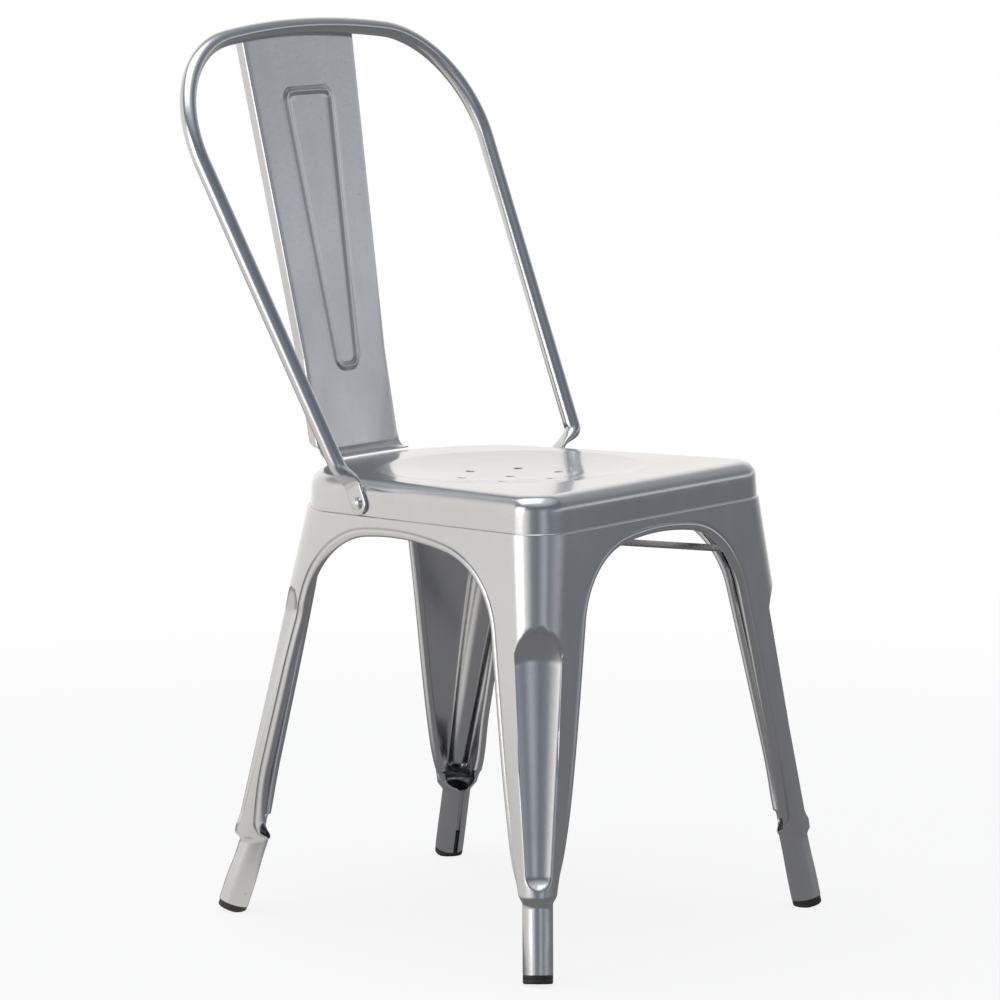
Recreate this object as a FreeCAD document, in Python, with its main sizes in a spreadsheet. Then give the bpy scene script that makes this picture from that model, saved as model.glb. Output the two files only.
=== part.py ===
import FreeCAD, Part
import math
import os

import Sketcher

Vector = FreeCAD.Vector
Rotation = FreeCAD.Rotation
Placement = FreeCAD.Placement

# A stacking side chair pressed from sheet steel: a dished seat pan on four stamped
# legs, a bent tube hoop for the back and a pressed splat in its middle.
# The front edge faces -Y, +Z is up, and left means -X: the left of someone who
# stands in front of the chair and looks at it.
# The origin is on the floor, in the middle of the chair's bounding box.

doc = FreeCAD.newDocument("MetalBistroChair")

# Driving dimensions, all in millimetres or degrees.
SIZES = [
    ("sheet_wall", 1.2, "steel sheet of the legs and the splat"),
    ("seat_wall", 1.2, "steel sheet of the seat pan"),
    # legs where they meet the seat, as the centres of their corner rounds
    ("seam_height", 408.5, "seat pan's lower edge above the floor, at the front"),
    ("seat_pitch", 1.5, "fall of the seat towards the back, degrees"),
    ("front_corner_half_width", 144.0, "centre of a front corner round from the middle"),
    ("front_corner_reach", 151.0, "centre of a front corner round ahead of the middle"),
    ("front_corner_radius", 35.0, "front corner round at the seat"),
    ("rear_corner_half_width", 98.3, "centre of a rear corner round from the middle"),
    ("rear_corner_reach", 92.5, "centre of a rear corner round behind the middle"),
    ("rear_corner_radius", 55.0, "rear corner round at the seat"),
    ("rear_bulge", 42.0, "bow of the seat's rear edge beyond its corners"),
    # feet
    ("front_foot_half_width", 212.6, "front foot from the middle, on the floor"),
    ("front_foot_reach", 210.2, "front foot ahead of the middle, on the floor"),
    ("rear_foot_half_width", 166.3, "rear foot from the middle, on the floor"),
    ("rear_foot_reach", 207.3, "rear foot behind the middle, on the floor"),
    ("foot_tube_radius", 14.0, "outer radius of a leg's rolled lower end"),
    ("foot_tube_top", 84.0, "height where the rolled end opens into the leg"),
    ("foot_taper", 18.0, "length over which the rolled end widens to the leg"),
    ("floor_bulge", 1.0, "what is left of the rear bow at floor level"),
    ("foot_slot", 4.0, "gap of the rolled end's open seam"),
    ("foot_slot_start", 4.0, "start of that gap above the glide's plug"),
    ("foot_overlap", 12.0, "length of the rolled end inside the leg"),
    # arches between the legs
    ("arch_top", 391.0, "crown of the front and rear arches"),
    ("side_arch_top", 385.0, "crown of the side arches"),
    ("arch_level", 250.0, "height at which the arch widths are given"),
    ("front_arch_half_width", 136.7, "front arch at that height"),
    ("front_arch_slope", 0.222, "spread of its sides per height"),
    ("side_arch_front_half", 141.5, "side arch ahead of the middle"),
    ("side_arch_front_slope", 0.2, "spread of its front side"),
    ("side_arch_rear_half", 132.2, "side arch behind the middle"),
    ("side_arch_rear_slope", 0.235, "spread of its rear side"),
    ("rear_arch_half_width", 89.8, "rear arch at that height"),
    ("rear_arch_slope", 0.226, "spread of its sides per height"),
    ("arch_corner_radius", 84.0, "shoulder round of the arches"),
    ("rear_arch_corner_radius", 40.0, "shoulder round of the rear arch"),
    ("arch_crown_radius", 330.0, "flat top round of the arches"),
    ("side_split", 10.0, "joint of the front and rear legs behind the middle"),
    ("arch_flare_top", 150.0, "height where the arch sides start to flare to the foot"),
    ("rim_width", 9.8, "width of the rolled rim along the arches"),
    ("rim_depth", 6.0, "depth of the rolled rim"),
    # pressed groove along each leg's corner
    ("groove_bottom", 86.0, "lower end of the groove"),
    ("groove_top", 318.0, "upper end of the groove"),
    ("groove_half_width_bottom", 13.0, "half width near its lower end"),
    ("groove_half_width_top", 23.0, "half width near its upper end"),
    ("groove_hollow", 6.0, "hollow of the groove below its shoulders"),
    # collar that locates the seat
    ("collar_height", 6.0, "collar of the leg tops inside the seat's skirt"),
    ("skirt_step", 1.5, "leg tops stand this much proud of the skirt"),
    ("skirt_clearance", 0.3, "gap between the skirt and the collar"),
    # seat pan
    ("seat_depth", 33.5, "height of the seat pan's skirt and roll together"),
    ("skirt_draft", 3.0, "draft of the skirt, degrees"),
    ("seat_roll_radius", 15.0, "roll between the skirt and the top"),
    ("dish_radius", 128.0, "radius of the round dish in the seat"),
    ("dish_depth", 9.5, "depth of the dish"),
    ("drain_circle", 50.0, "radius of the ring of drain holes"),
    ("drain_hole", 8.5, "diameter of a drain hole"),
    ("drain_back", 5.0, "middle hole ahead of the seat's reference point"),
    # back hoop
    ("hoop_tube", 16.0, "outer diameter of the hoop tube"),
    ("hoop_wall", 1.5, "wall of the hoop tube"),
    ("hoop_lean", 26.5, "lean of the hoop from upright, degrees"),
    ("hoop_anchor_height", 490.0, "height of the hoop plane's reference line"),
    ("hoop_anchor_reach", 80.0, "its distance behind the middle"),
    ("hoop_half_width", 184.3, "half width of the hoop at that line"),
    ("hoop_spread", 0.106, "widening of the arms per length"),
    ("hoop_top", 401.0, "crown of the hoop above that line, along the lean"),
    ("hoop_corner_radius", 113.0, "shoulder round of the hoop"),
    ("hoop_crown_radius", 850.0, "flat top round of the hoop"),
    ("hoop_bend_height", 452.0, "height where the arms turn in to the seat"),
    ("paddle_width", 20.0, "width of the flattened ends"),
    ("neck_overlap", 0.3, "reach of the neck's ends into the plate and the tube"),
    ("hoop_flat_gap", 0.4, "what is left of the bore in the flattened ends"),
    ("paddle_height", 16.0, "flattened end above its rivet"),
    ("paddle_drop", 9.5, "flattened end below its rivet"),
    ("rivet_rise", 11.0, "rivet above the skirt's lower edge"),
    ("rivet_reach", 52.5, "rivet behind the middle"),
    ("rivet_shank", 6.0, "diameter of the rivet's shank"),
    ("rivet_head", 13.0, "diameter of the rivet's domed head"),
    ("rivet_head_height", 4.0, "height of the domed head"),
    ("rivet_tail", 2.0, "height of the rivet's tail inside the skirt"),
    ("rivet_tail_width", 9.0, "diameter of that tail"),
    # splat
    ("splat_top_half_width", 81.0, "half width at the top"),
    ("splat_low_half_width", 59.5, "half width where the sides turn parallel"),
    ("splat_low_height", 530.0, "height of that turn"),
    ("splat_top_height", 846.0, "height of its top edge"),
    ("splat_lean", 11.2, "lean of the splat from upright, degrees"),
    ("splat_anchor_reach", 204.1, "face of the splat behind the middle at that height"),
    ("splat_bend_radius", 12.0, "bend of its foot onto the seat"),
    ("splat_foot", 3.0, "flat foot lying on the seat"),
    ("splat_flange", 10.0, "depth of its folded sides"),
    ("bead_width", 8.5, "width of the raised frame pressed in the splat"),
    ("bead_height", 1.6, "height of that frame"),
    ("bead_top_half_width", 33.2, "half width of the frame at its top"),
    ("bead_low_half_width", 14.0, "half width of the frame at its bottom"),
    ("bead_top", 786.0, "height of the frame's top"),
    ("bead_low", 518.0, "height of the frame's bottom"),
    ("bead_corner", 9.0, "round of the frame's corners"),
    # foot glides and sleeves
    ("glide_flange", 8.5, "height of the glide's visible shoe"),
    ("glide_plug", 22.0, "plug of the glide inside the tube"),
    ("glide_overlap", 0.0, "shoe proud of the tube, radially"),
    ("glide_clearance", 0.2, "plug to tube wall"),
    ("glide_flat", 2.6, "depth of the sole trimmed level with the floor"),
    ("sleeve_wall", 1.2, "wall of the liner in the rolled end"),
    ("sleeve_clearance", 0.15, "liner to the rolled end"),
    ("sleeve_length", 46.0, "length of the liner"),
    ("sleeve_gap", 2.0, "liner above the glide's plug"),
    # brace under the seat
    ("brace_width", 22.0, "width of the crossed straps"),
    ("brace_wall", 2.0, "thickness of a strap"),
    ("brace_drop", 53.5, "upper strap below the seam at the front"),
    ("brace_rise", 5.9, "rise of the straps towards the back, degrees"),
]

sheet = doc.addObject("Spreadsheet::Sheet", "Sizes")
for row, (alias, value, note) in enumerate(SIZES, start=1):
    sheet.set("A%d" % row, note)
    sheet.set("B%d" % row, str(value))
    sheet.setAlias("B%d" % row, alias)
doc.recompute()


def size(alias):
    return float(sheet.get(alias))


def cell(alias):
    return "Sizes." + alias


PARTS = []


def keep(obj, label):
    """Registers a finished sub-part under the name of its node."""
    obj.Label = label
    PARTS.append(obj)
    return obj


def shape_part(label, shape):
    """A sub-part whose shape is worked out in code from the sheet's sizes."""
    obj = doc.addObject("Part::Feature", label)
    obj.Shape = shape
    return keep(obj, label)


# Corners of the four-legged frame. Every level's outline is four corner rounds joined
# by straight lines, with a bowed line at the rear, and it changes evenly with height.

SEAM = size("seam_height")
WALL = size("sheet_wall")

# Cutting shapes reach this far past what they cut, or across the whole chair.
SPARE = 20.0
REACH = 400.0


def between(low, high, height):
    return low + (high - low) * height / SEAM


def corner(front, height):
    """Half width, depth and radius of a corner's round at a height."""
    if front:
        x = between(size("front_foot_half_width"), size("front_corner_half_width"), height)
        y = between(size("front_foot_reach"), size("front_corner_reach"), height)
        r = between(size("foot_tube_radius"), size("front_corner_radius"), height)
        return x, -y, r
    x = between(size("rear_foot_half_width"), size("rear_corner_half_width"), height)
    y = between(size("rear_foot_reach"), size("rear_corner_reach"), height)
    r = between(size("foot_tube_radius"), size("rear_corner_radius"), height)
    return x, y, r


def on_circle(cx, cy, radius, angle):
    return cx + radius * math.cos(angle), cy + radius * math.sin(angle)


def arc_edge(cx, cy, radius, start, end, height):
    points = [on_circle(cx, cy, radius, a) for a in (start, (start + end) / 2, end)]
    return Part.Arc(*[Vector(x, y, height) for x, y in points]).toShape()


def outline(height, grow):
    """Closed outline of the frame at a height, moved outwards by grow."""
    fx, fy, fr = corner(True, height)
    rx, ry, rr = corner(False, height)
    fr += grow
    rr += grow
    # direction of the side line's outward normal, shared by its two corner rounds
    run_x, run_y = rx - fx, ry - fy
    run = math.hypot(run_x, run_y)
    side = math.atan2(-run_x, run_y) + math.asin((fr - rr) / run)
    bulge = between(size("floor_bulge"), size("rear_bulge"), height)
    apex = ry + rr + bulge
    drop = apex - ry
    bow = (rx * rx + drop * drop - rr * rr) / (2 * bulge)
    bow_y = apex - bow
    bow_angle = math.atan2(ry - bow_y, rx)
    quarter = math.pi / 2

    edges = []
    start = Vector(*on_circle(-fx, fy, fr, -quarter), height)
    end = Vector(*on_circle(fx, fy, fr, -quarter), height)
    edges.append(Part.LineSegment(start, end).toShape())
    edges.append(arc_edge(fx, fy, fr, -quarter, side, height))
    start = Vector(*on_circle(fx, fy, fr, side), height)
    end = Vector(*on_circle(rx, ry, rr, side), height)
    edges.append(Part.LineSegment(start, end).toShape())
    edges.append(arc_edge(rx, ry, rr, side, bow_angle, height))
    edges.append(arc_edge(0, bow_y, bow, bow_angle, math.pi - bow_angle, height))
    edges.append(arc_edge(-rx, ry, rr, math.pi - bow_angle, math.pi - side, height))
    start = Vector(*on_circle(-rx, ry, rr, math.pi - side), height)
    end = Vector(*on_circle(-fx, fy, fr, math.pi - side), height)
    edges.append(Part.LineSegment(start, end).toShape())
    edges.append(arc_edge(-fx, fy, fr, math.pi - side, 3 * quarter, height))
    return Part.Wire(edges)


def frame_block(low, high, grow):
    """Solid between two levels of the frame's outer face, moved outwards by grow."""
    return Part.makeLoft([outline(low, grow), outline(high, grow)], True, True)


def slab(low, high):
    """A wide level slab, used to keep what lies between two heights."""
    return Part.makeBox(2 * REACH, 2 * REACH, high - low, Vector(-REACH, -REACH, low))


def pitched(shape):
    """The shape tilted with the seat about the front seam line."""
    front = -(size("front_corner_reach") + size("front_corner_radius"))
    shape.rotate(Vector(0, front, SEAM), Vector(1, 0, 0), -size("seat_pitch"))
    return shape


def pitched_slab(low, high):
    return pitched(slab(low, high))


# Arches between the legs, drawn across the chair and cut straight through its faces.

def shoulder(half, slope, level, top, radius, crown):
    """Tangent points and middles of the round between a slanted side and the crown."""
    norm = math.hypot(1, slope)
    dx, dz = -slope / norm, 1 / norm
    nx, nz = -1 / norm, -slope / norm
    ax = half + radius * nx
    az = level + radius * nz - (top - crown)
    along = ax * dx + az * dz
    rest = ax * ax + az * az - (crown - radius) ** 2
    step = -along + math.sqrt(along * along - rest)
    cx = half + radius * nx + step * dx
    cz = level + radius * nz + step * dz
    side = (half + step * dx, level + step * dz)
    turn = math.atan2(cz - (top - crown), cx)
    crown_point = (crown * math.cos(turn), top - crown + crown * math.sin(turn))
    start = math.atan2(side[1] - cz, side[0] - cx)
    middle = on_circle(cx, cz, radius, (start + turn) / 2)
    return side, middle, crown_point


def arch_side(half, slope, flank, top, radius, crown, grow):
    """Points of one side of an arch from the foot up to its crown.

    Below the flare's start the side curves out to the flank of the leg's rolled end."""
    level = size("arch_level")
    flare_top = size("arch_flare_top")
    reach = flare_top - size("foot_tube_top")
    flare = flank - half - slope * (level - flare_top + reach)
    half += grow * math.hypot(1, slope)
    side, middle, crown_point = shoulder(half, slope, level, top + grow, radius + grow, crown + grow)
    points = []
    for part in (1.5, 0.75, 0.0):
        drop = part * reach
        spread = half + slope * (level - flare_top + drop) + flare * part * part
        points.append((spread, flare_top - drop))
    return points + [side, middle, crown_point]


def arch_cutter(left, right, top, radius, grow, direction):
    """Solid that cuts an arch through a face; left and right are (half, slope, flank)."""
    crown = size("arch_crown_radius")
    a = arch_side(*left, top, radius, crown, grow)
    b = arch_side(*right, top, radius, crown, grow)

    def place(across, height):
        if direction.y:
            return Vector(across, 0, height)
        return Vector(0, across, height)

    pa = [place(-x, z) for x, z in a]
    pb = [place(x, z) for x, z in b]
    top_point = place(0, top + grow)
    floor_a = place(-a[0][0], -SPARE)
    floor_b = place(b[0][0], -SPARE)
    edges = [
        Part.LineSegment(floor_a, pa[0]).toShape(),
        Part.Arc(pa[0], pa[1], pa[2]).toShape(),
        Part.LineSegment(pa[2], pa[3]).toShape(),
        Part.Arc(pa[3], pa[4], pa[5]).toShape(),
        Part.Arc(pa[5], top_point, pb[5]).toShape(),
        Part.Arc(pb[5], pb[4], pb[3]).toShape(),
        Part.LineSegment(pb[3], pb[2]).toShape(),
        Part.Arc(pb[2], pb[1], pb[0]).toShape(),
        Part.LineSegment(pb[0], floor_b).toShape(),
        Part.LineSegment(floor_b, floor_a).toShape(),
    ]
    face = Part.Face(Part.Wire(edges))
    return face.extrude(direction)


def arch_cutters(grow):
    radius = size("arch_corner_radius")
    top = size("arch_top")
    tube = size("foot_tube_radius")
    front_x, front_y, _ = corner(True, size("foot_tube_top"))
    rear_x, rear_y, _ = corner(False, size("foot_tube_top"))
    front = (size("front_arch_half_width"), size("front_arch_slope"), front_x - tube)
    rear = (size("rear_arch_half_width"), size("rear_arch_slope"), rear_x - tube)
    side_front = (size("side_arch_front_half"), size("side_arch_front_slope"), -front_y - tube)
    side_rear = (size("side_arch_rear_half"), size("side_arch_rear_slope"), rear_y - tube)
    across = arch_cutter(side_front, side_rear, size("side_arch_top"), radius, grow,
                         Vector(2 * REACH, 0, 0))
    across.translate(Vector(-REACH, 0, 0))
    rear_radius = size("rear_arch_corner_radius")
    return [
        arch_cutter(front, front, top, radius, grow, Vector(0, -REACH, 0)),
        arch_cutter(rear, rear, top, rear_radius, grow, Vector(0, REACH, 0)),
        across,
    ]


# Pressed groove down a leg's corner: what two balls and the cone between them dent.

def diagonal(front):
    return Vector(-1, -1 if front else 1, 0) / math.sqrt(2)


def groove_ball(front, height, half_width, grow):
    """Centre and radius of the ball that dents the left corner at a height."""
    x, y, r = corner(front, height)
    shoulder_drop = r - math.sqrt(r * r - half_width * half_width)
    hollow = size("groove_hollow")
    ball = (half_width * half_width + hollow * hollow) / (2 * hollow)
    out = r - shoulder_drop - hollow + ball
    return Vector(-x, y, height) + diagonal(front) * out, ball + grow


def groove(front, grow):
    low_half = size("groove_half_width_bottom")
    top_half = size("groove_half_width_top")
    low, low_radius = groove_ball(front, size("groove_bottom") + low_half, low_half, grow)
    top, top_radius = groove_ball(front, size("groove_top") - top_half, top_half, grow)
    axis = top - low
    length = axis.Length
    lean = math.asin((top_radius - low_radius) / length)
    # profile in the plane of X (out) and Z (along the axis), from pole to pole
    bottom = Vector(0, 0, -low_radius)
    low_mid = Vector(low_radius * math.cos(-math.pi / 4), 0, low_radius * math.sin(-math.pi / 4))
    low_end = Vector(low_radius * math.cos(lean), 0, -low_radius * math.sin(lean))
    top_end = Vector(top_radius * math.cos(lean), 0, length - top_radius * math.sin(lean))
    top_mid = Vector(top_radius * math.cos(math.pi / 4), 0, length + top_radius * math.sin(math.pi / 4))
    pole = Vector(0, 0, length + top_radius)
    wire = Part.Wire([
        Part.Arc(bottom, low_mid, low_end).toShape(),
        Part.LineSegment(low_end, top_end).toShape(),
        Part.Arc(top_end, top_mid, pole).toShape(),
        Part.LineSegment(pole, bottom).toShape(),
    ])
    solid = Part.Face(wire).revolve(Vector(0, 0, 0), Vector(0, 0, 1), 360)
    solid.Placement = Placement(low, Rotation(Vector(0, 0, 1), axis))
    return solid


# Feet: each rolled end leans along the line of its corner rounds.

def foot_axis(front):
    """Floor point and unit direction of the left foot's axis."""
    x, y, _ = corner(front, 0)
    u, v, _ = corner(front, SEAM)
    low = Vector(-x, y, 0)
    return low, (Vector(-u, v, SEAM) - low).normalize()


def foot_start(front):
    """Point on a foot's axis where the underside of its glide lies."""
    low, axis = foot_axis(front)
    lean = math.acos(axis.z)
    rise = (size("foot_tube_radius") * math.sin(lean) - size("glide_flat")) / axis.z
    return low + axis * rise


def foot_place(front, along):
    """Placement on a left foot's axis, its X pointing outwards along the diagonal."""
    start = foot_start(front)
    _, axis = foot_axis(front)
    out = diagonal(front)
    across = axis.cross(out).normalize()
    out = across.cross(axis)
    return Placement(start + axis * along, Rotation(out, across, axis, "ZXY"))


def revolved(points):
    """Solid of revolution about Z of a closed profile of (radius, height) points."""
    corners = [Vector(r, 0, z) for r, z in points]
    wire = Part.makePolygon(corners + [corners[0]])
    return Part.Face(wire).revolve(Vector(0, 0, 0), Vector(0, 0, 1), 360)


def rolled_end(front):
    """The leg's lower end, rolled to a tube whose open seam faces inwards."""
    radius = size("foot_tube_radius")
    base = size("glide_flange")
    top = size("foot_tube_top")
    _, axis = foot_axis(front)
    start = foot_start(front).z
    tip = top + size("foot_overlap")
    join = top + size("foot_overlap") / 3
    # the upper end lies within the leg's own wall
    wide = corner(front, join)[2] - WALL / 4
    inner = corner(front, tip)[2] - WALL / 2
    outline_points = [
        (radius, base),
        (radius, (top - size("foot_taper") - start) / axis.z),
        (wide, (join - start) / axis.z),
        (inner, (tip - start) / axis.z),
    ]
    bore = [(r - WALL, z) for r, z in reversed(outline_points)]
    tube = revolved(outline_points + bore)
    slot = size("foot_slot")
    slot_base = base + size("glide_plug") + size("foot_slot_start")
    seam = Part.makeBox(3 * radius, slot, tip, Vector(-3 * radius, -slot / 2, slot_base))
    tube = tube.cut(seam)
    tube.Placement = foot_place(front, 0.0)
    return tube


def build_legs():
    """The front left and rear left legs; the right ones are their mirror images."""
    left_half = Part.makeBox(REACH, 2 * REACH, 2 * REACH, Vector(-REACH, -REACH, 0))
    outer = frame_block(2 * SPARE, SEAM + SPARE, 0.0).common(left_half)
    inner = frame_block(SPARE, SEAM + 2 * SPARE, -WALL)
    dented = outer
    hollow = inner
    for front in (True, False):
        dented = dented.cut(groove(front, 0.0))
        hollow = hollow.cut(groove(front, WALL))
    shell = dented.cut(hollow)

    rims = outer.cut(frame_block(SPARE, SEAM + 2 * SPARE, -size("rim_depth")))
    band = None
    for wide in arch_cutters(size("rim_width")):
        piece = rims.common(wide)
        band = piece if band is None else band.fuse(piece)
    body = shell.fuse(band)
    for cutter in arch_cutters(0.0):
        body = body.cut(cutter)
    low = size("foot_tube_top")
    body = body.common(slab(low, SEAM + SPARE / 2))
    body = body.common(pitched_slab(-SEAM, SEAM))

    # ledge under the seat's skirt and the collar inside it
    inset = size("skirt_step") + size("seat_wall") + size("skirt_clearance")
    ledge = frame_block(SEAM - SPARE, SEAM + SPARE, -WALL / 2)
    ledge = ledge.cut(frame_block(SEAM - 2 * SPARE, SEAM + 2 * SPARE, -inset - WALL / 2))
    ledge = ledge.common(pitched_slab(SEAM - WALL, SEAM))
    collar = frame_block(SEAM - SPARE, SEAM + SPARE, -inset)
    collar = collar.cut(frame_block(SEAM - 2 * SPARE, SEAM + 2 * SPARE, -inset - WALL))
    collar = collar.common(pitched_slab(SEAM - WALL, SEAM + size("collar_height")))
    body = body.fuse(ledge).fuse(collar)

    split = size("side_split")
    legs = []
    for front in (True, False):
        low_y, high_y = (-REACH, split) if front else (split, REACH)
        quarter = Part.makeBox(REACH, high_y - low_y, 2 * SEAM, Vector(-REACH, low_y, 0))
        leg = body.common(quarter).fuse(rolled_end(front))
        legs.append(leg.removeSplitter())
    return legs


def mirrored(shape):
    return shape.mirror(Vector(0, 0, 0), Vector(1, 0, 0))


def cylinder(name, radius, height, place):
    part = doc.addObject("Part::Cylinder", name)
    part.setExpression("Radius", radius)
    part.setExpression("Height", height)
    part.Placement = place
    return part


def cut(name, base, tool):
    part = doc.addObject("Part::Cut", name)
    part.Base = base
    part.Tool = tool
    return part


# The seat's own frame: its origin is at the middle of the dish, on the seam plane.

def seat_place():
    front = -(size("front_corner_reach") + size("front_corner_radius"))
    pitch = Rotation(Vector(1, 0, 0), -size("seat_pitch"))
    hinge = Vector(0, front, SEAM)
    return Placement(hinge + pitch.multVec(Vector(0, -size("drain_back") - front, 0)), pitch)


def origin_feature(body, role):
    """Plane or axis of a body's origin."""
    for feature in body.Origin.OriginFeatures:
        if feature.Role == role:
            return feature
    raise ValueError(role)


def flat_sketch(body, name, role):
    sketch = body.newObject("Sketcher::SketchObject", name)
    sketch.AttachmentSupport = (origin_feature(body, role), [""])
    sketch.MapMode = "FlatFace"
    return sketch


def circle_sketch(body, name, role, diameter, radius_out=None):
    """Sketch of one circle on the vertical axis, bound to the sheet's sizes."""
    sketch = flat_sketch(body, name, role)
    sketch.addGeometry(Part.Circle(Vector(0, 1, 0), Vector(0, 0, 1), 5.0), False)
    sketch.addConstraint(Sketcher.Constraint("Diameter", 0, 5.0))
    sketch.setExpression("Constraints[0]", diameter)
    sketch.addConstraint(Sketcher.Constraint("PointOnObject", 0, 3, -2))
    if radius_out:
        sketch.addConstraint(Sketcher.Constraint("DistanceY", -1, 1, 0, 3, 1.0))
        sketch.setExpression("Constraints[2]", radius_out)
    else:
        sketch.addConstraint(Sketcher.Constraint("PointOnObject", 0, 3, -1))
    return sketch


def outline_sketch(body, name, grow):
    """The frame's outline at the seam, moved by grow, drawn about the dish's middle."""
    sketch = flat_sketch(body, name, "XY_Plane")
    shift = Vector(0, size("drain_back"), -SEAM)
    for edge in outline(SEAM, grow).Edges:
        first = edge.valueAt(edge.FirstParameter) + shift
        last = edge.valueAt(edge.LastParameter) + shift
        if isinstance(edge.Curve, Part.Circle):
            middle = edge.valueAt((edge.FirstParameter + edge.LastParameter) / 2) + shift
            sketch.addGeometry(Part.Arc(first, middle, last), False)
        else:
            sketch.addGeometry(Part.LineSegment(first, last), False)
    return sketch


def lens_sketch(body, name, drop):
    """Half section of the dish's ball, moved down by drop, closed above the seat."""
    dish_radius = size("dish_radius")
    dish_depth = size("dish_depth")
    ball = (dish_radius * dish_radius + dish_depth * dish_depth) / (2 * dish_depth)
    lowest = size("seat_depth") - dish_depth - drop
    high = size("seat_depth") + SPARE / 10
    radius = ball + drop
    half = math.acos(1 - (high - lowest) / radius) / 2
    bottom = Vector(0, lowest, 0)
    middle = Vector(radius * math.sin(half), lowest + radius - radius * math.cos(half), 0)
    side = Vector(radius * math.sin(2 * half), high, 0)
    sketch = flat_sketch(body, name, "XZ_Plane")
    sketch.addGeometry(Part.Arc(bottom, middle, side), False)
    sketch.addGeometry(Part.LineSegment(side, Vector(0, high, 0)), False)
    sketch.addGeometry(Part.LineSegment(Vector(0, high, 0), bottom), False)
    return sketch


def face_at(feature, height):
    """Name of a feature's level face at a height."""
    for number, face in enumerate(feature.Shape.Faces, start=1):
        box = face.BoundBox
        if abs(box.ZMin - height) < 0.01 and abs(box.ZMax - height) < 0.01:
            return "Face%d" % number
    raise ValueError("no level face at %g" % height)


def pan_block(name, grow, less, drop):
    """A pad of the outline with a rolled top edge and the dish pressed into it."""
    body = doc.addObject("PartDesign::Body", name)
    pad = body.newObject("PartDesign::Pad", name + "Pad")
    pad.Profile = outline_sketch(body, name + "Outline", grow)
    pad.setExpression("Length", cell("seat_depth") + less)
    pad.setExpression("TaperAngle", "-" + cell("skirt_draft"))
    doc.recompute()
    roll = body.newObject("PartDesign::Fillet", name + "Roll")
    roll.Base = (pad, [face_at(pad, pad.Length.Value)])
    roll.setExpression("Radius", cell("seat_roll_radius") + less)
    doc.recompute()
    dish = body.newObject("PartDesign::Groove", name + "Dish")
    dish.Profile = lens_sketch(body, name + "DishProfile", drop)
    dish.ReferenceAxis = (dish.Profile[0], ["V_Axis"])
    dish.Angle = 360.0
    doc.recompute()
    return body


def drain(body, name, out=None):
    pocket = body.newObject("PartDesign::Pocket", name)
    pocket.Profile = circle_sketch(body, name + "Circle", "XY_Plane", cell("drain_hole"), out)
    pocket.Type = "ThroughAll"
    pocket.Midplane = True
    doc.recompute()
    return pocket


def build_seat():
    """The pan: a drafted skirt, a rolled top edge, a round dish and drain holes."""
    wall = size("seat_wall")
    step = size("skirt_step")
    outside = pan_block("PanOutside", -step, "", 0.0)
    drain(outside, "MiddleDrain")
    ring = outside.newObject("PartDesign::PolarPattern", "DrainRing")
    ring.Originals = [drain(outside, "RingDrain", cell("drain_circle"))]
    ring.Axis = (origin_feature(outside, "Z_Axis"), [""])
    ring.Angle = 360.0
    ring.Occurrences = 6
    outside.Tip = ring
    inside = pan_block("PanInside", -step - wall, " - " + cell("seat_wall"), wall)
    pan = cut("pan_sheet", outside, inside)
    pan.Placement = seat_place()
    hole = cylinder("rivet_hole_left", cell("rivet_shank") + " / 2", cell("seat_depth"), rivet_place())
    hole.Placement = hole.Placement.multiply(Placement(Vector(0, 0, -size("seat_depth") / 2), Rotation()))
    other = doc.addObject("Part::Mirroring", "rivet_hole_right")
    other.Source = hole
    other.Normal = Vector(1, 0, 0)
    return keep(cut("seat_pan", cut("pan_with_left_hole", pan, hole), other), "seat_pan")


# Back hoop: a bent tube in a leaning plane, flattened at both ends against the skirt.

def hoop_point(x, along):
    """A point of the hoop's plane, at a distance along its lean above the anchor."""
    lean = math.radians(size("hoop_lean"))
    y = size("hoop_anchor_reach") + along * math.sin(lean)
    return Vector(x, y, size("hoop_anchor_height") + along * math.cos(lean))


def rivet_place():
    """Left rivet on the skirt's outer face: X across, Y up the paddle, Z outwards."""
    fx, fy, fr = corner(True, SEAM)
    rx, ry, rr = corner(False, SEAM)
    run_x, run_y = rx - fx, ry - fy
    side = math.atan2(-run_x, run_y) + math.asin((fr - rr) / math.hypot(run_x, run_y))
    draft = math.radians(size("skirt_draft"))
    rise = size("rivet_rise")
    face = fx * math.cos(side) + fy * math.sin(side) + fr - size("skirt_step") - rise * math.tan(draft)
    y = size("rivet_reach")
    x = (face - y * math.sin(side)) / math.cos(side)
    out = Vector(-math.cos(side) * math.cos(draft), math.sin(side) * math.cos(draft), math.sin(draft))
    lean = math.radians(size("hoop_lean"))
    along = Vector(0, math.sin(lean), math.cos(lean))
    across = along.cross(out).normalize()
    along = out.cross(across)
    pan = seat_place()
    local = Vector(-x, y + size("drain_back"), rise)
    turn = pan.Rotation.multiply(Rotation(across, along, out, "ZYX"))
    return Placement(pan.multVec(local), turn)


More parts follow.
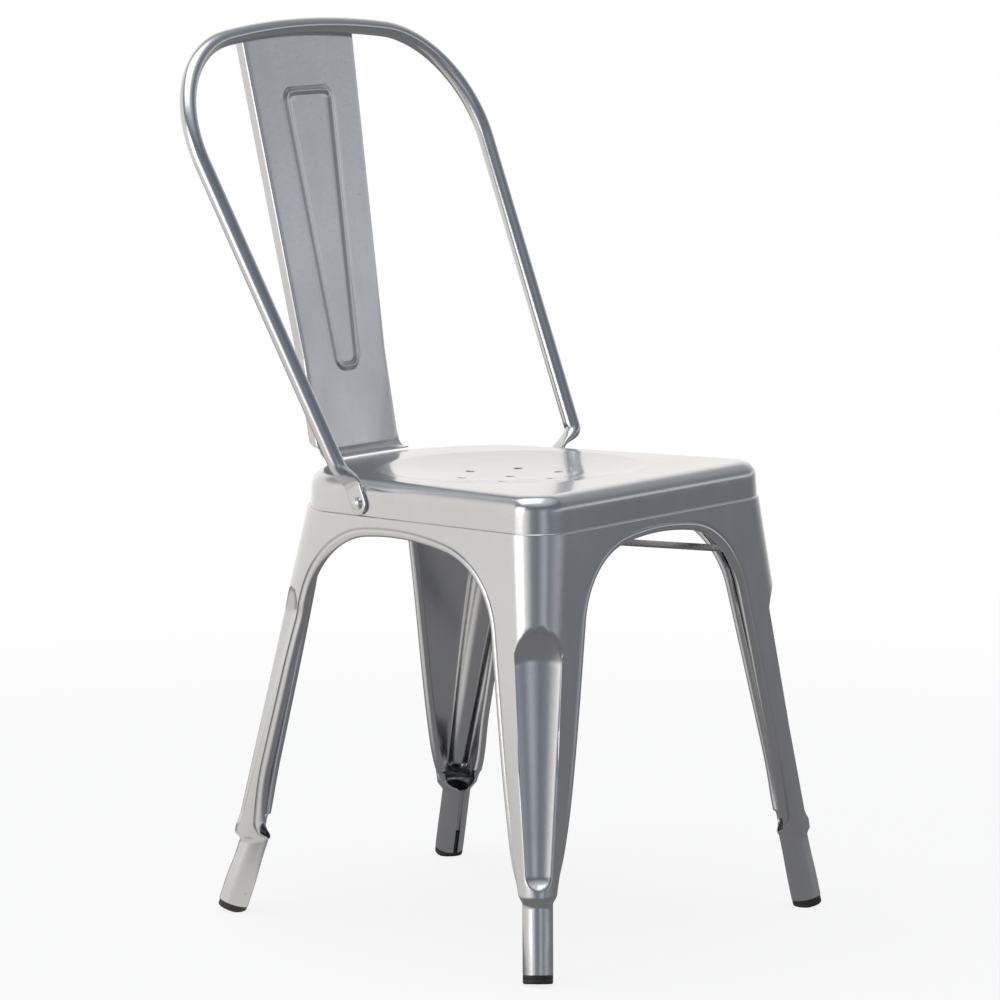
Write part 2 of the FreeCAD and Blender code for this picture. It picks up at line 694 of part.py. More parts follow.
def build_hoop():
    radius = size("hoop_tube") / 2
    wall = size("hoop_wall")
    half = size("hoop_half_width")
    spread = size("hoop_spread")
    lean = math.radians(size("hoop_lean"))
    bend = (size("hoop_bend_height") - size("hoop_anchor_height")) / math.cos(lean)
    shoulders = shoulder(half, -spread, 0.0, size("hoop_top"), size("hoop_corner_radius"),
                         size("hoop_crown_radius"))
    start = (half + spread * bend, bend)
    left = [hoop_point(-x, w) for x, w in (start,) + shoulders]
    right = [hoop_point(x, w) for x, w in (start,) + shoulders]
    top = hoop_point(0, size("hoop_top"))
    path = Part.Wire([
        Part.LineSegment(left[0], left[1]).toShape(),
        Part.Arc(left[1], left[2], left[3]).toShape(),
        Part.Arc(left[3], top, right[3]).toShape(),
        Part.Arc(right[3], right[2], right[1]).toShape(),
        Part.LineSegment(right[1], right[0]).toShape(),
    ])
    direction = (left[1] - left[0]).normalize()

    def tube(r):
        ring = Part.Wire([Part.Circle(left[0], direction, r).toShape()])
        return path.makePipeShell([ring], True, False)

    arch = tube(radius).cut(tube(radius - wall))

    # flattened end: a plate on the skirt, lofted into the round tube
    plate = 2 * wall + size("hoop_flat_gap")
    width = size("paddle_width")
    rise = size("paddle_height")
    drop = size("paddle_drop")
    place = rivet_place()
    blade = Part.makeBox(width, rise + drop - width / 2, plate, Vector(-width / 2, width / 2 - drop, 0))
    blade = blade.fuse(Part.makeCylinder(width / 2, plate, Vector(0, width / 2 - drop, 0)))
    blade = blade.cut(Part.makeCylinder(size("rivet_shank") / 2, 3 * plate, Vector(0, 0, -plate)))
    blade.Placement = place
    snug = size("neck_overlap")
    flat = Part.Ellipse(Vector(0, 0, 0), width / 2 - snug, plate / 2 + snug).toShape()
    flat = Part.Wire([flat])
    # the ellipse stands across the paddle's length, its long axis along the skirt
    stand = Placement(Vector(0, rise - wall, plate / 2), Rotation(Vector(1, 0, 0), 90))
    flat.Placement = place.multiply(stand)
    axis_x = place.Rotation.multVec(Vector(1, 0, 0))
    across = (axis_x - direction * axis_x.dot(direction)).normalize()
    mouth = Part.Wire([Part.Circle(Vector(0, 0, 0), Vector(0, 0, 1), radius - snug).toShape()])
    normal = direction.negative()
    inside = left[0] + direction * 2 * wall
    mouth.Placement = Placement(inside, Rotation(across, normal.cross(across), normal, "ZXY"))
    neck = Part.makeLoft([flat, mouth], True, False)
    end = blade.fuse(neck)
    return arch.fuse(end).fuse(mirrored(end)).removeSplitter()


# Splat: a leaning panel with folded sides and a raised frame, bent onto the seat.

def splat_profile(near, far):
    """Side view of the panel between two depths behind its face, as a closed face."""
    lean = math.radians(size("splat_lean"))
    bend = size("splat_bend_radius")
    foot = size("splat_foot")
    seat = seat_place()
    up = Vector(0, math.sin(lean), math.cos(lean))
    back = Vector(0, math.cos(lean), -math.sin(lean))
    anchor = Vector(0, size("splat_anchor_reach"), size("splat_low_height"))
    level = seat.Rotation.multVec(Vector(0, 0, 1))
    on_seat = seat.multVec(Vector(0, 0, size("seat_depth")))
    # middle of the bend: bend above the seat and bend ahead of the panel's back
    ahead = anchor + back * (WALL - bend)
    step = (bend + (on_seat - ahead).dot(level)) / up.dot(level)
    middle = ahead + up * step
    top = anchor + back * WALL + up * ((size("splat_top_height") - anchor.z) / up.z)
    forward = seat.Rotation.multVec(Vector(0, -1, 0))

    def rail(inset):
        """Points of the panel's line at a distance in front of its back face."""
        r = bend - inset
        half_way = (back + level.negative()).normalize()
        return [
            top - back * inset,
            middle + back * r,
            middle + half_way * r,
            middle - level * r,
            middle - level * r + forward * foot,
        ]

    a = rail(near)
    b = rail(far)
    edges = [
        Part.LineSegment(a[0], a[1]).toShape(),
        Part.Arc(a[1], a[2], a[3]).toShape(),
        Part.LineSegment(a[3], a[4]).toShape(),
        Part.LineSegment(a[4], b[4]).toShape(),
        Part.LineSegment(b[4], b[3]).toShape(),
        Part.Arc(b[3], b[2], b[1]).toShape(),
        Part.LineSegment(b[1], b[0]).toShape(),
        Part.LineSegment(b[0], a[0]).toShape(),
    ]
    return Part.Face(Part.Wire(edges))


def front_prism(points):
    """Prism through the whole depth of a polygon drawn in the front view."""
    corners = [Vector(x, 0, z) for x, z in points]
    return Part.Face(Part.makePolygon(corners + [corners[0]])).extrude(Vector(0, REACH, 0))


def splat_outline(inset):
    low = size("splat_low_half_width") - inset
    high = size("splat_top_half_width") - inset
    z_low = size("splat_low_height")
    z_top = size("splat_top_height")
    over = (high - low) / (z_top - z_low)
    above = z_top + SPARE
    wide = high + over * SPARE
    base = SEAM - SPARE
    right = [(low, base), (low, z_low), (wide, above)]
    left = [(-wide, above), (-low, z_low), (-low, base)]
    return front_prism(right + left)


def bead_frame(inset):
    """Front view of the raised frame's outer edge, or its inner one, as a prism."""
    top = size("bead_top_half_width") + size("bead_width") / 2 - inset
    low = size("bead_low_half_width") + size("bead_width") / 2 - inset
    z_top = size("bead_top") + size("bead_width") / 2 - inset
    z_low = size("bead_low") - size("bead_width") / 2 + inset
    prism = front_prism([(-low, z_low), (low, z_low), (top, z_top), (-top, z_top)])
    edges = [e for e in prism.Edges if abs(e.tangentAt(e.FirstParameter).y) > 0.9]
    return prism.makeFillet(size("bead_corner") - inset / 2, edges)


def across_solid(face):
    face.translate(Vector(-REACH, 0, 0))
    return face.extrude(Vector(2 * REACH, 0, 0))


def build_splat():
    panel = across_solid(splat_profile(0.0, WALL)).common(splat_outline(0.0))
    # folded sides behind the panel, from the seat to just under its top
    flange = size("splat_flange")
    lean = math.radians(size("splat_lean"))
    back = Vector(0, math.cos(lean), -math.sin(lean))
    up = Vector(0, math.sin(lean), math.cos(lean))
    anchor = Vector(0, size("splat_anchor_reach"), size("splat_low_height"))
    seat = seat_place()
    on_seat = seat.multVec(Vector(0, 0, size("seat_depth")))
    level = seat.Rotation.multVec(Vector(0, 0, 1))
    high = (size("splat_top_height") - anchor.z) / up.z
    low = ((on_seat - anchor).dot(level) + size("splat_bend_radius")) / up.dot(level)
    corners = [
        anchor + up * high + back * (WALL / 2),
        anchor + up * high + back * flange,
        anchor + up * low + back * flange,
        anchor + up * low + back * (WALL / 2),
    ]
    strip = Part.Face(Part.makePolygon(corners + [corners[0]]))
    sides = across_solid(strip).common(splat_outline(0.0).cut(splat_outline(WALL)))
    raised = across_solid(splat_profile(WALL / 2, WALL + size("bead_height")))
    frame = raised.common(bead_frame(0.0).cut(bead_frame(size("bead_width"))))
    return panel.fuse(sides).fuse(frame).removeSplitter()


def build_rivet():
    """Domed head outside, shank through the paddle, skirt and a small tail inside."""
    body = doc.addObject("PartDesign::Body", "hoop_rivet_left")
    profile = flat_sketch(body, "RivetProfile", "XZ_Plane")
    head = size("rivet_head") / 2
    dome = size("rivet_head_height")
    shank = size("rivet_shank") / 2
    plate = 2 * size("hoop_wall") + size("hoop_flat_gap")
    tail = size("rivet_tail")
    tail_radius = size("rivet_tail_width") / 2
    inside = -size("seat_wall")
    bulge = (head * head + dome * dome) / (2 * dome)
    half = math.asin(head / bulge) / 2
    middle = Vector(bulge * math.sin(half), plate + dome - bulge + bulge * math.cos(half), 0)
    points = [
        Vector(head, plate, 0),
        Vector(shank, plate, 0),
        Vector(shank, inside, 0),
        Vector(tail_radius, inside, 0),
        Vector(tail_radius, inside - tail, 0),
        Vector(0, inside - tail, 0),
        Vector(0, plate + dome, 0),
    ]
    profile.addGeometry(Part.Arc(points[-1], middle, points[0]), False)
    for a, b in zip(points, points[1:]):
        profile.addGeometry(Part.LineSegment(a, b), False)
    turn = body.newObject("PartDesign::Revolution", "RivetTurn")
    turn.Profile = profile
    turn.ReferenceAxis = (profile, ["V_Axis"])
    turn.Angle = 360.0
    doc.recompute()
    body.Placement = rivet_place()
    return keep(body, "hoop_rivet_left")


def build_glide(front, name):
    """Foot glide: a shoe under the rolled end and a plug inside it, its sole level."""
    place = foot_place(front, 0.0)
    shoe = cylinder(name + "_shoe", cell("foot_tube_radius") + " + " + cell("glide_overlap"),
                    cell("glide_flange"), place)
    bore = cell("foot_tube_radius") + " - " + cell("sheet_wall")
    plug = cylinder(name + "_plug", bore + " - " + cell("glide_clearance"),
                    cell("glide_flange") + " + " + cell("glide_plug"), place)
    whole = doc.addObject("Part::Fuse", name + "_whole")
    whole.Base = shoe
    whole.Tool = plug
    ground = doc.addObject("Part::Box", name + "_ground")
    ground.Length = ground.Width = 2 * REACH
    ground.Height = REACH
    ground.Placement = Placement(Vector(-REACH, -REACH, -REACH), Rotation())
    return keep(cut(name, whole, ground), name)


def build_liner(front, name):
    """Liner sleeve in the rolled end, seen through its open seam."""
    place = foot_place(front, size("glide_flange") + size("glide_plug") + size("sleeve_gap"))
    bore = cell("foot_tube_radius") + " - " + cell("sheet_wall")
    outside = bore + " - " + cell("sleeve_clearance")
    inside = outside + " - " + cell("sleeve_wall")
    outer = cylinder(name + "_outside", outside, cell("sleeve_length"), place)
    inner = cylinder(name + "_inside", inside, cell("sleeve_length"), place)
    return keep(cut(name, outer, inner), name)


def build_strap(level):
    """Flat strap from the left front corner to the right rear one, within the walls."""
    fx, fy, fr = corner(True, SEAM)
    rx, ry, rr = corner(False, SEAM)
    start = Vector(-fx, fy, 0)
    end = Vector(rx, ry, 0)
    run = end - start
    wide = size("brace_width")
    thick = size("brace_wall")
    beyond = fr + rr
    strap = Part.makeBox(run.Length + 2 * beyond, wide, thick, Vector(-beyond, -wide / 2, level))
    strap.Placement = Placement(start, Rotation(Vector(1, 0, 0), run))
    front = -(size("front_corner_reach") + size("front_corner_radius"))
    strap.rotate(Vector(0, front, level), Vector(1, 0, 0), size("brace_rise"))
    return strap.common(frame_block(SEAM / 2, SEAM, -WALL))


def mirror_part(source, name):
    part = doc.addObject("Part::Mirroring", name)
    part.Source = source
    part.Normal = Vector(1, 0, 0)
    return keep(part, name)


front_leg, rear_leg = build_legs()
for front, leg in ((True, front_leg), (False, rear_leg)):
    end = "front" if front else "rear"
    mirror_part(shape_part(end + "_left_leg", leg), end + "_right_leg")
    mirror_part(build_liner(front, "leg_liner_%s_left" % end), "leg_liner_%s_right" % end)
    mirror_part(build_glide(front, "foot_glide_%s_left" % end), "foot_glide_%s_right" % end)

build_seat()
shape_part("back_hoop", build_hoop())
mirror_part(build_rivet(), "hoop_rivet_right")
shape_part("back_splat", build_splat())
under = SEAM - size("brace_drop") - size("brace_wall")
shape_part("under_seat_strap_upper", build_strap(under))
shape_part("under_seat_strap_lower", mirrored(build_strap(under - size("brace_wall"))))
doc.recompute()

# The origin moves under the middle of the whole chair.
reach = [part.Shape.optimalBoundingBox(False, False) for part in PARTS]
middle = (min(box.YMin for box in reach) + max(box.YMax for box in reach)) / 2
print("middle of the chair behind the seat's reference line: %.3f" % middle)
for part in PARTS:
    if part.TypeId != "Part::Mirroring":
        part.Placement = Placement(Vector(0, -middle, 0), Rotation()).multiply(part.Placement)
doc.recompute()

for obj in doc.Objects:
    if "Invalid" in obj.State or "Error" in obj.State:
        raise RuntimeError("%s did not build: %s" % (obj.Label, obj.State))
for part in PARTS:
    shape = part.Shape
    if shape.isNull() or not shape.isValid() or len(shape.Solids) != 1:
        raise RuntimeError("%s is not one valid solid" % part.Label)

os.makedirs("parts", exist_ok=True)
for part in PARTS:
    part.Shape.exportStep(os.path.join("parts", part.Label + ".step"))
    print(part.Label, round(part.Shape.Volume))
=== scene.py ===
import math

import bmesh
import bpy
from mathutils import Matrix, Vector
from mathutils.geometry import delaunay_2d_cdt


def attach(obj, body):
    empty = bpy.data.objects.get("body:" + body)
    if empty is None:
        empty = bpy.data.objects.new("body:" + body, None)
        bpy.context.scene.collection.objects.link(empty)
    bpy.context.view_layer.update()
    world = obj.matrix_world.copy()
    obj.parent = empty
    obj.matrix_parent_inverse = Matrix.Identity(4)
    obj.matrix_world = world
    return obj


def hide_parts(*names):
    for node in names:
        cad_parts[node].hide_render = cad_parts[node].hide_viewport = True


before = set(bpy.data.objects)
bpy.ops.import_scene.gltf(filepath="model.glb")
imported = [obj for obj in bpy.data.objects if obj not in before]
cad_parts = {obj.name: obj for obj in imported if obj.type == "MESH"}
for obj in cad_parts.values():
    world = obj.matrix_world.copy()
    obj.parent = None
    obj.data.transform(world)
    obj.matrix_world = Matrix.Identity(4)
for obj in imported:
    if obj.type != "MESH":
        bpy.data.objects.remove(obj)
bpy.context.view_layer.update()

# A stacking side chair pressed from sheet steel, in silver paint. Sizes are real
# millimetres, turned into metres where a mesh is made. Left is -X and the front is -Y.
# Heights and half widths are those of the CAD model. Depths are counted from the
# seat's reference line, which lies ORIGIN_BACK ahead of the chair's middle.
MM = 0.001
MERGE = 0.01
CUT_EDGE = math.radians(50.0)
ORIGIN_BACK = 26.241

SHEET = 1.2
SEAM = 408.5
SEAT_PITCH = math.radians(1.5)
FRONT_LINE = -186.0


def lerp(a, b, t):
    return a + (b - a) * t


def ease(a, b, x):
    """Smooth step of x from 0 at a to 1 at b."""
    t = min(1.0, max(0.0, (x - a) / (b - a)))
    return t * t * (3.0 - 2.0 * t)


def soft_min(a, b, width):
    """Smaller of two values, rounded where they cross."""
    gap = max(width - abs(a - b), 0.0) / width
    return min(a, b) - gap * gap * width * 0.25


def add2(a, b, scale=1.0):
    return (a[0] + b[0] * scale, a[1] + b[1] * scale)


def on_circle(centre, radius, angle):
    return add2(centre, (math.cos(angle), math.sin(angle)), radius)


def unit2(a):
    size = math.hypot(a[0], a[1])
    return (a[0] / size, a[1] / size)


def steps(low, high, count):
    return [lerp(low, high, i / (count - 1)) for i in range(count)]


# Meshes

def piece(name, verts, faces, material, slot, replaced=(), wall=0.0):
    """Closed up, outward mesh of points in millimetres, riding on the chair's one body."""
    mesh = bpy.data.meshes.new(name)
    mesh.from_pydata([(x * MM, (y - ORIGIN_BACK) * MM, z * MM) for x, y, z in verts], [], faces)
    work = bmesh.new()
    work.from_mesh(mesh)
    bmesh.ops.remove_doubles(work, verts=work.verts, dist=MERGE * MM)
    bmesh.ops.dissolve_degenerate(work, edges=work.edges, dist=MERGE * MM * 0.1)
    work.to_mesh(mesh)
    work.free()
    mesh.shade_smooth()
    mesh.materials.append(material)
    obj = bpy.data.objects.new(name, mesh)
    bpy.context.scene.collection.objects.link(obj)
    if wall:
        thicken(obj, wall)
    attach(obj, "root")
    if replaced:
        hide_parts(*replaced)
    return obj


def grid_faces(rows, columns, first=0, closed=False, flip=False):
    faces = []
    last = columns if closed else columns - 1
    for i in range(rows - 1):
        for j in range(last):
            k = (j + 1) % columns
            a = first + i * columns + j
            b = first + i * columns + k
            face = (a, b, b + columns, a + columns)
            faces.append(tuple(reversed(face)) if flip else face)
    return faces


def mirrored(verts, faces):
    return [(-x, y, z) for x, y, z in verts], [tuple(reversed(face)) for face in faces]


def thicken(obj, wall):
    """Gives a sheet its thickness behind its outer face, with crisp cut edges."""
    skin = obj.modifiers.new("sheet thickness", "SOLIDIFY")
    skin.thickness = wall * MM
    skin.offset = -1.0
    shape = obj.evaluated_get(bpy.context.evaluated_depsgraph_get())
    thick = bpy.data.meshes.new_from_object(shape)
    obj.modifiers.remove(skin)
    thin, obj.data = obj.data, thick
    bpy.data.meshes.remove(thin)
    thick.name = obj.name
    thick.set_sharp_from_angle(angle=CUT_EDGE)


# Legs

FOOT_RADIUS = 14.0
TUBE_TOP = 72.0
TAPER_TOP = 80.0
GLIDE_HEIGHT = 8.5
GLIDE_FLAT = 2.6
GLIDE_PLUG = 12.6
GLIDE_PLUG_TOP = 30.5
SLOT = 4.0
SPLIT = 10.0
ARCH_TOP = 391.0
SIDE_ARCH_TOP = 385.0
ARCH_CROWN = 330.0
ARCH_LEVEL = 250.0
CURL_START = 150.0
SHOULDER_ROUND = 2.0
GROOVE_LOW, GROOVE_HIGH = 88.0, 322.0
FRONT_GROOVE, REAR_GROOVE = (12.0, 23.0), (10.0, 18.0)
GROOVE_HOLLOW = 6.0
GROOVE_SOFT = 4.0
GROOVE_END = 1.5
CURL_HEIGHT = 40.0
CURL_GONE = 300.0, 385.0
BOW_FADE = 130.0
RIM_WIDTH = 9.8
RIM_FULL = 92.0
RIM_LEAST = 2.0
RIM_CLEARANCE = 1.5
EDGE_TURN_IN = 3.6
FOOT_SQUARE = 60.0, 25.0
ARM_LONGEST = 330.0
GROOVE_SHARE = 0.9
GROOVE_LEAST = 0.4
# arches: half width at ARCH_LEVEL, and how much wider each millimetre below it
FRONT_ARCH, REAR_ARCH = (136.7, 0.222), (89.8, 0.226)
SIDE_ARCH_AHEAD, SIDE_ARCH_BEHIND = (141.5, 0.200), (132.2, 0.235)
ARCH_SHOULDER, REAR_ARCH_SHOULDER = 84.0, 40.0
REAR_SLOT_TURN = 0.35
# corners: where the leg stands, where it meets the seat, and the corner round there
FRONT_CORNER = (-212.6, -210.2), (-144.0, -151.0), 35.0
REAR_CORNER = (-166.3, 207.3), (-98.3, 92.5), 55.0
FLOOR_BULGE = 1.0
REAR_BULGE = 42.0


class Arch:
    """Half of an arch's edge, from its crown down its slanted side."""

    def __init__(self, half, slope, top, radius, start):
        self.half, self.slope, self.top, self.radius, self.start = half, slope, top, radius, start
        norm = math.hypot(1.0, slope)
        middle = top - ARCH_CROWN
        down = (slope / norm, -1.0 / norm)
        inward = (-1.0 / norm, -slope / norm)
        base = (half + radius * inward[0], ARCH_LEVEL + radius * inward[1] - middle)
        along = -(base[0] * down[0] + base[1] * down[1])
        rest = base[0] ** 2 + base[1] ** 2 - (ARCH_CROWN - radius) ** 2
        step = -along + math.sqrt(along * along - rest)
        self.centre = (base[0] - down[0] * step, base[1] - down[1] * step + middle)
        self.side = (half - down[0] * step, ARCH_LEVEL - down[1] * step)
        self.outward = (-inward[0], -inward[1])
        self.turn = math.atan2(self.centre[1] - middle, self.centre[0])
        self.end = math.atan2(self.side[1] - self.centre[1], self.side[0] - self.centre[0])

    def at(self, part, t):
        """Point of the edge and its normal, on its crown, its shoulder or its side."""
        if part == 0:
            angle = lerp(math.acos(self.start / ARCH_CROWN), self.turn, t)
            normal = (math.cos(angle), math.sin(angle))
            return (ARCH_CROWN * normal[0], self.top - ARCH_CROWN + ARCH_CROWN * normal[1]), normal
        if part == 1:
            angle = lerp(self.turn, self.end, t)
            normal = (math.cos(angle), math.sin(angle))
            return add2(self.centre, normal, self.radius), normal
        height = lerp(self.side[1], CURL_START, t)
        return (self.half + self.slope * (ARCH_LEVEL - height), height), self.outward


class Leg:
    """Left leg of one end: corner round, two curling arms and their rolled rims."""

    def __init__(self, front):
        self.front = front
        self.foot, self.top, self.radius_top = FRONT_CORNER if front else REAR_CORNER
        if front:
            self.arch = Arch(*FRONT_ARCH, ARCH_TOP, ARCH_SHOULDER, 0.0)
            self.side_arch = Arch(*SIDE_ARCH_AHEAD, SIDE_ARCH_TOP, ARCH_SHOULDER, -SPLIT)
            self.slot_turn = 0.0
        else:
            self.arch = Arch(*REAR_ARCH, ARCH_TOP, REAR_ARCH_SHOULDER, 0.0)
            self.side_arch = Arch(*SIDE_ARCH_BEHIND, SIDE_ARCH_TOP, ARCH_SHOULDER, SPLIT)
            self.slot_turn = REAR_SLOT_TURN
        self.memo = {}

    def centre(self, z):
        return tuple(lerp(a, b, z / SEAM) for a, b in zip(self.foot, self.top))

    def radius(self, z):
        wide = lerp(FOOT_RADIUS, self.radius_top, z / SEAM)
        return lerp(FOOT_RADIUS, wide, ease(TUBE_TOP - 1.0, TAPER_TOP, z))

    def side_normal(self, z):
        """Outward normal of the side face, which touches both left corner rounds."""
        ends = []
        for foot, top, radius in (FRONT_CORNER, REAR_CORNER):
            low, high = foot + (FOOT_RADIUS,), top + (radius,)
            ends.append([lerp(a, b, z / SEAM) for a, b in zip(low, high)])
        front, rear = ends
        run = (front[0] - rear[0], rear[1] - front[1])
        turn = math.atan2(-run[0], run[1]) + math.asin((front[2] - rear[2]) / math.hypot(*run))
        return (-math.cos(turn), math.sin(turn))

    def bow(self, z):
        """Curvature of the rear face and the normal where its bow starts."""
        x, y = self.centre(z)
        radius = lerp(FOOT_RADIUS, self.radius_top, z / SEAM)
        bulge = lerp(FLOOR_BULGE, REAR_BULGE, z / SEAM)
        drop = radius + bulge
        bow = (x * x + drop * drop - radius * radius) / (2.0 * bulge)
        turn = math.atan2(y - (y + drop - bow), -x)
        return 1.0 / bow, (-math.cos(turn), math.sin(turn))

    def curl(self, z):
        """How sharply the arms curl inwards; they close to a tube at the foot."""
        tube = 1.0 / FOOT_RADIUS
        tight = tube * math.exp(-(max(z, TUBE_TOP) - TUBE_TOP) / CURL_HEIGHT)
        return tight * (1.0 - ease(*CURL_GONE, z)) + 1e-6

    def section(self, z):
        """Centre and radius of the corner round, normals of the two arms and between them,
        half the turn between them, and the curvatures of the two arms."""
        key = round(z, 4)
        if key not in self.memo:
            side = self.side_normal(z)
            curl = self.curl(z)
            if self.front:
                first, bend = (0.0, -1.0), 0.0
            else:
                bend, first = self.bow(z)
                bend *= 1.0 - ease(BOW_FADE, TUBE_TOP, z)
            middle = unit2(add2(first, side))
            cosine = first[0] * middle[0] + first[1] * middle[1]
            half = math.acos(min(1.0, cosine))
            normals = (first, side, middle)
            self.memo[key] = (self.centre(z), self.radius(z), *normals, half, curl + bend, curl)
        return self.memo[key]

    def corner_point(self, t, z, groove=True):
        """Point on the corner round; t runs from -1 at the first arm to 1 at the side."""
        centre, radius, first, _, middle, half, _, _ = self.section(z)
        across = (-middle[1], middle[0])
        if first[0] * across[0] + first[1] * across[1] > 0.0:
            across = (-across[0], -across[1])
        angle = half * t
        x = radius * math.sin(angle)
        out = radius * math.cos(angle)
        if groove:
            out = self.pressed(out, x, radius, z)
        return (*add2(add2(centre, middle, out), across, x), z)

    def pressed(self, out, x, radius, z):
        """The groove: a shallow hollow with rounded shoulders and round ends."""
        low, high = GROOVE_LOW, GROOVE_HIGH
        narrow, wide = FRONT_GROOVE if self.front else REAR_GROOVE
        if not low < z < high:
            return out
        end = GROOVE_END * wide
        half = lerp(narrow, wide, (z - low - narrow) / (high - end - low - narrow))
        half = min(wide, max(narrow, half))
        if z > high - end:
            half = wide * math.sqrt(max(1.0 - ((z - high + end) / end) ** 2, 0.0))
        elif z < low + narrow:
            half = math.sqrt(max(narrow ** 2 - (low + narrow - z) ** 2, 0.0))
        half = min(half, radius * GROOVE_SHARE)
        if half < GROOVE_LEAST:
            return out
        hollow = GROOVE_HOLLOW * half / wide
        floor = math.sqrt(radius ** 2 - half ** 2) - hollow * (1.0 - (x / half) ** 2)
        return soft_min(out, floor, GROOVE_SOFT * half / wide)

    def arm_point(self, side_arm, d, z):
        """Point at a distance along an arm from where it leaves the corner round."""
        centre, radius, first, side, _, _, bend, curl = self.section(z)
        normal = side if side_arm else first
        curvature = curl if side_arm else bend
        if side_arm:
            tangent = (-normal[1], normal[0]) if not self.front else (normal[1], -normal[0])
        else:
            tangent = (-normal[1], normal[0]) if self.front else (normal[1], -normal[0])
        along = math.sin(curvature * d) / curvature
        inward = (1.0 - math.cos(curvature * d)) / curvature
        x = centre[0] + normal[0] * (radius - inward) + tangent[0] * along
        y = centre[1] + normal[1] * (radius - inward) + tangent[1] * along
        return (x, y, z)

    def path_point(self, side_arm, along, z, groove=True):
        """Point at a distance from the corner's middle, round the corner and out along an arm."""
        _, radius, _, _, _, half, _, _ = self.section(z)
        bend = half * radius
        if along > bend:
            return self.arm_point(side_arm, along - bend, z)
        return self.corner_point(along / bend if side_arm else -along / bend, z, groove)

    def reach(self, side_arm, across, z):
        """Distance from the corner's middle at which an arm gets to a width or depth."""
        low, high = 0.0, ARM_LONGEST
        sign = 1.0 if self.front else -1.0
        for _ in range(40):
            d = (low + high) / 2.0
            x, y, _ = self.path_point(side_arm, d, z, False)
            short = sign * y < -across if side_arm else -x > across
            low, high = (d, high) if short else (low, d)
        return (low + high) / 2.0

    def rim_width(self, z):
        return RIM_WIDTH * ease(TUBE_TOP - 0.5, RIM_FULL, z)

    def room_above(self, side_arm, across, z):
        """Height left for a rim between an arch's edge and the seam's shoulder."""
        y = -across if self.front else across
        if not side_arm:
            y = FRONT_LINE if self.front else self.top[1] + self.radius_top + REAR_BULGE
        return max(seam_height(y) - SHOULDER_ROUND - RIM_CLEARANCE - z, RIM_LEAST)

    def crease(self, side_arm, part, t):
        """Where the rolled rim starts: distance from the corner's middle, height, the rim's
        width, and the height of the sheet's row beside it, which falls from row to row."""
        arch = self.side_arch if side_arm else self.arch
        if part < 3:
            (across, z), normal = arch.at(part, t)
            width = min(self.rim_width(z), self.room_above(side_arm, across, z))
            across += normal[0] * width
            z += normal[1] * width
            if part == 0 and t == 0.0:
                across = arch.start
            level = 2.0 * (arch.top + width) - z if across < 0.0 else z
            return self.reach(side_arm, across, z), z, width, level
        top = self.crease(side_arm, 2, 1.0)
        before = self.crease(side_arm, 2, 0.9)
        slope = (top[0] - before[0]) / (top[1] - before[1])
        turn = self.slot_turn if not side_arm else -self.slot_turn
        tube = FOOT_RADIUS * (math.pi + turn) - SLOT / 2.0
        z = lerp(top[1], TUBE_TOP, t)
        rim_top = top[0] + top[2]
        span = top[1] - TUBE_TOP
        # cubic from the straight side's slope to the tube's constant length
        a, b = t * t * (3.0 - 2.0 * t), t * (1.0 - t) ** 2
        rim = lerp(rim_top, tube, a) - slope * span * b
        return rim - self.rim_width(z), z, self.rim_width(z), z


def leg_rows(leg):
    """Rows of (first crease, side crease) from the crown of the arches to the foot."""
    stations = [(0, t ** 0.75) for t in steps(0.0, 1.0, 12)]
    stations += [(1, t) for t in steps(0.0, 1.0, 30)[1:]]
    stations += [(2, t) for t in steps(0.0, 1.0, 84)[1:]]
    stations += [(3, t) for t in steps(0.0, 1.0, 44)[1:]]
    return [(leg.crease(False, *s), leg.crease(True, *s)) for s in stations]


def seam_height(y):
    return SEAM - math.tan(SEAT_PITCH) * (y - FRONT_LINE)


def rim_profile(width):
    """Section of the rolled rim: (towards the opening, outwards) from its crease."""
    drawn_width = 9.0
    scale = width / drawn_width
    points = [(0.35, -0.10), (0.62, -0.42), (0.84, -0.95), (1.10, -1.22)]
    radius = 4.3
    start, end = math.radians(136.0), math.radians(-165.0)
    middle = 1.35 - radius * math.cos(start)
    for angle in steps(start, end, 22):
        points.append((middle + radius * math.cos(angle), -radius + radius * math.sin(angle)))
    return [(e * scale, n * scale) for e, n in points]


ARM_COLUMNS = 52
RISING_ROWS = 10


def face_row(leg, first, side, heights=None):
    """Points of one row over the sheet, between its two ends (distance, height)."""
    points = []
    for j in range(2 * ARM_COLUMNS + 1):
        side_arm = j > ARM_COLUMNS
        share = abs(j - ARM_COLUMNS) / ARM_COLUMNS
        if heights is None:
            crease = side if side_arm else first
            full = crease[0]
            z = lerp(first[3], side[3], ease(-0.5, 0.5, j / ARM_COLUMNS - 1.0))
            z = lerp(z, crease[1], ease(0.9, 1.0, share))
        else:
            z = heights[j]
            full = leg.reach(side_arm, leg.side_arch.start if side_arm else 0.0, z)
        points.append(leg.path_point(side_arm, full * share, z))
    return points


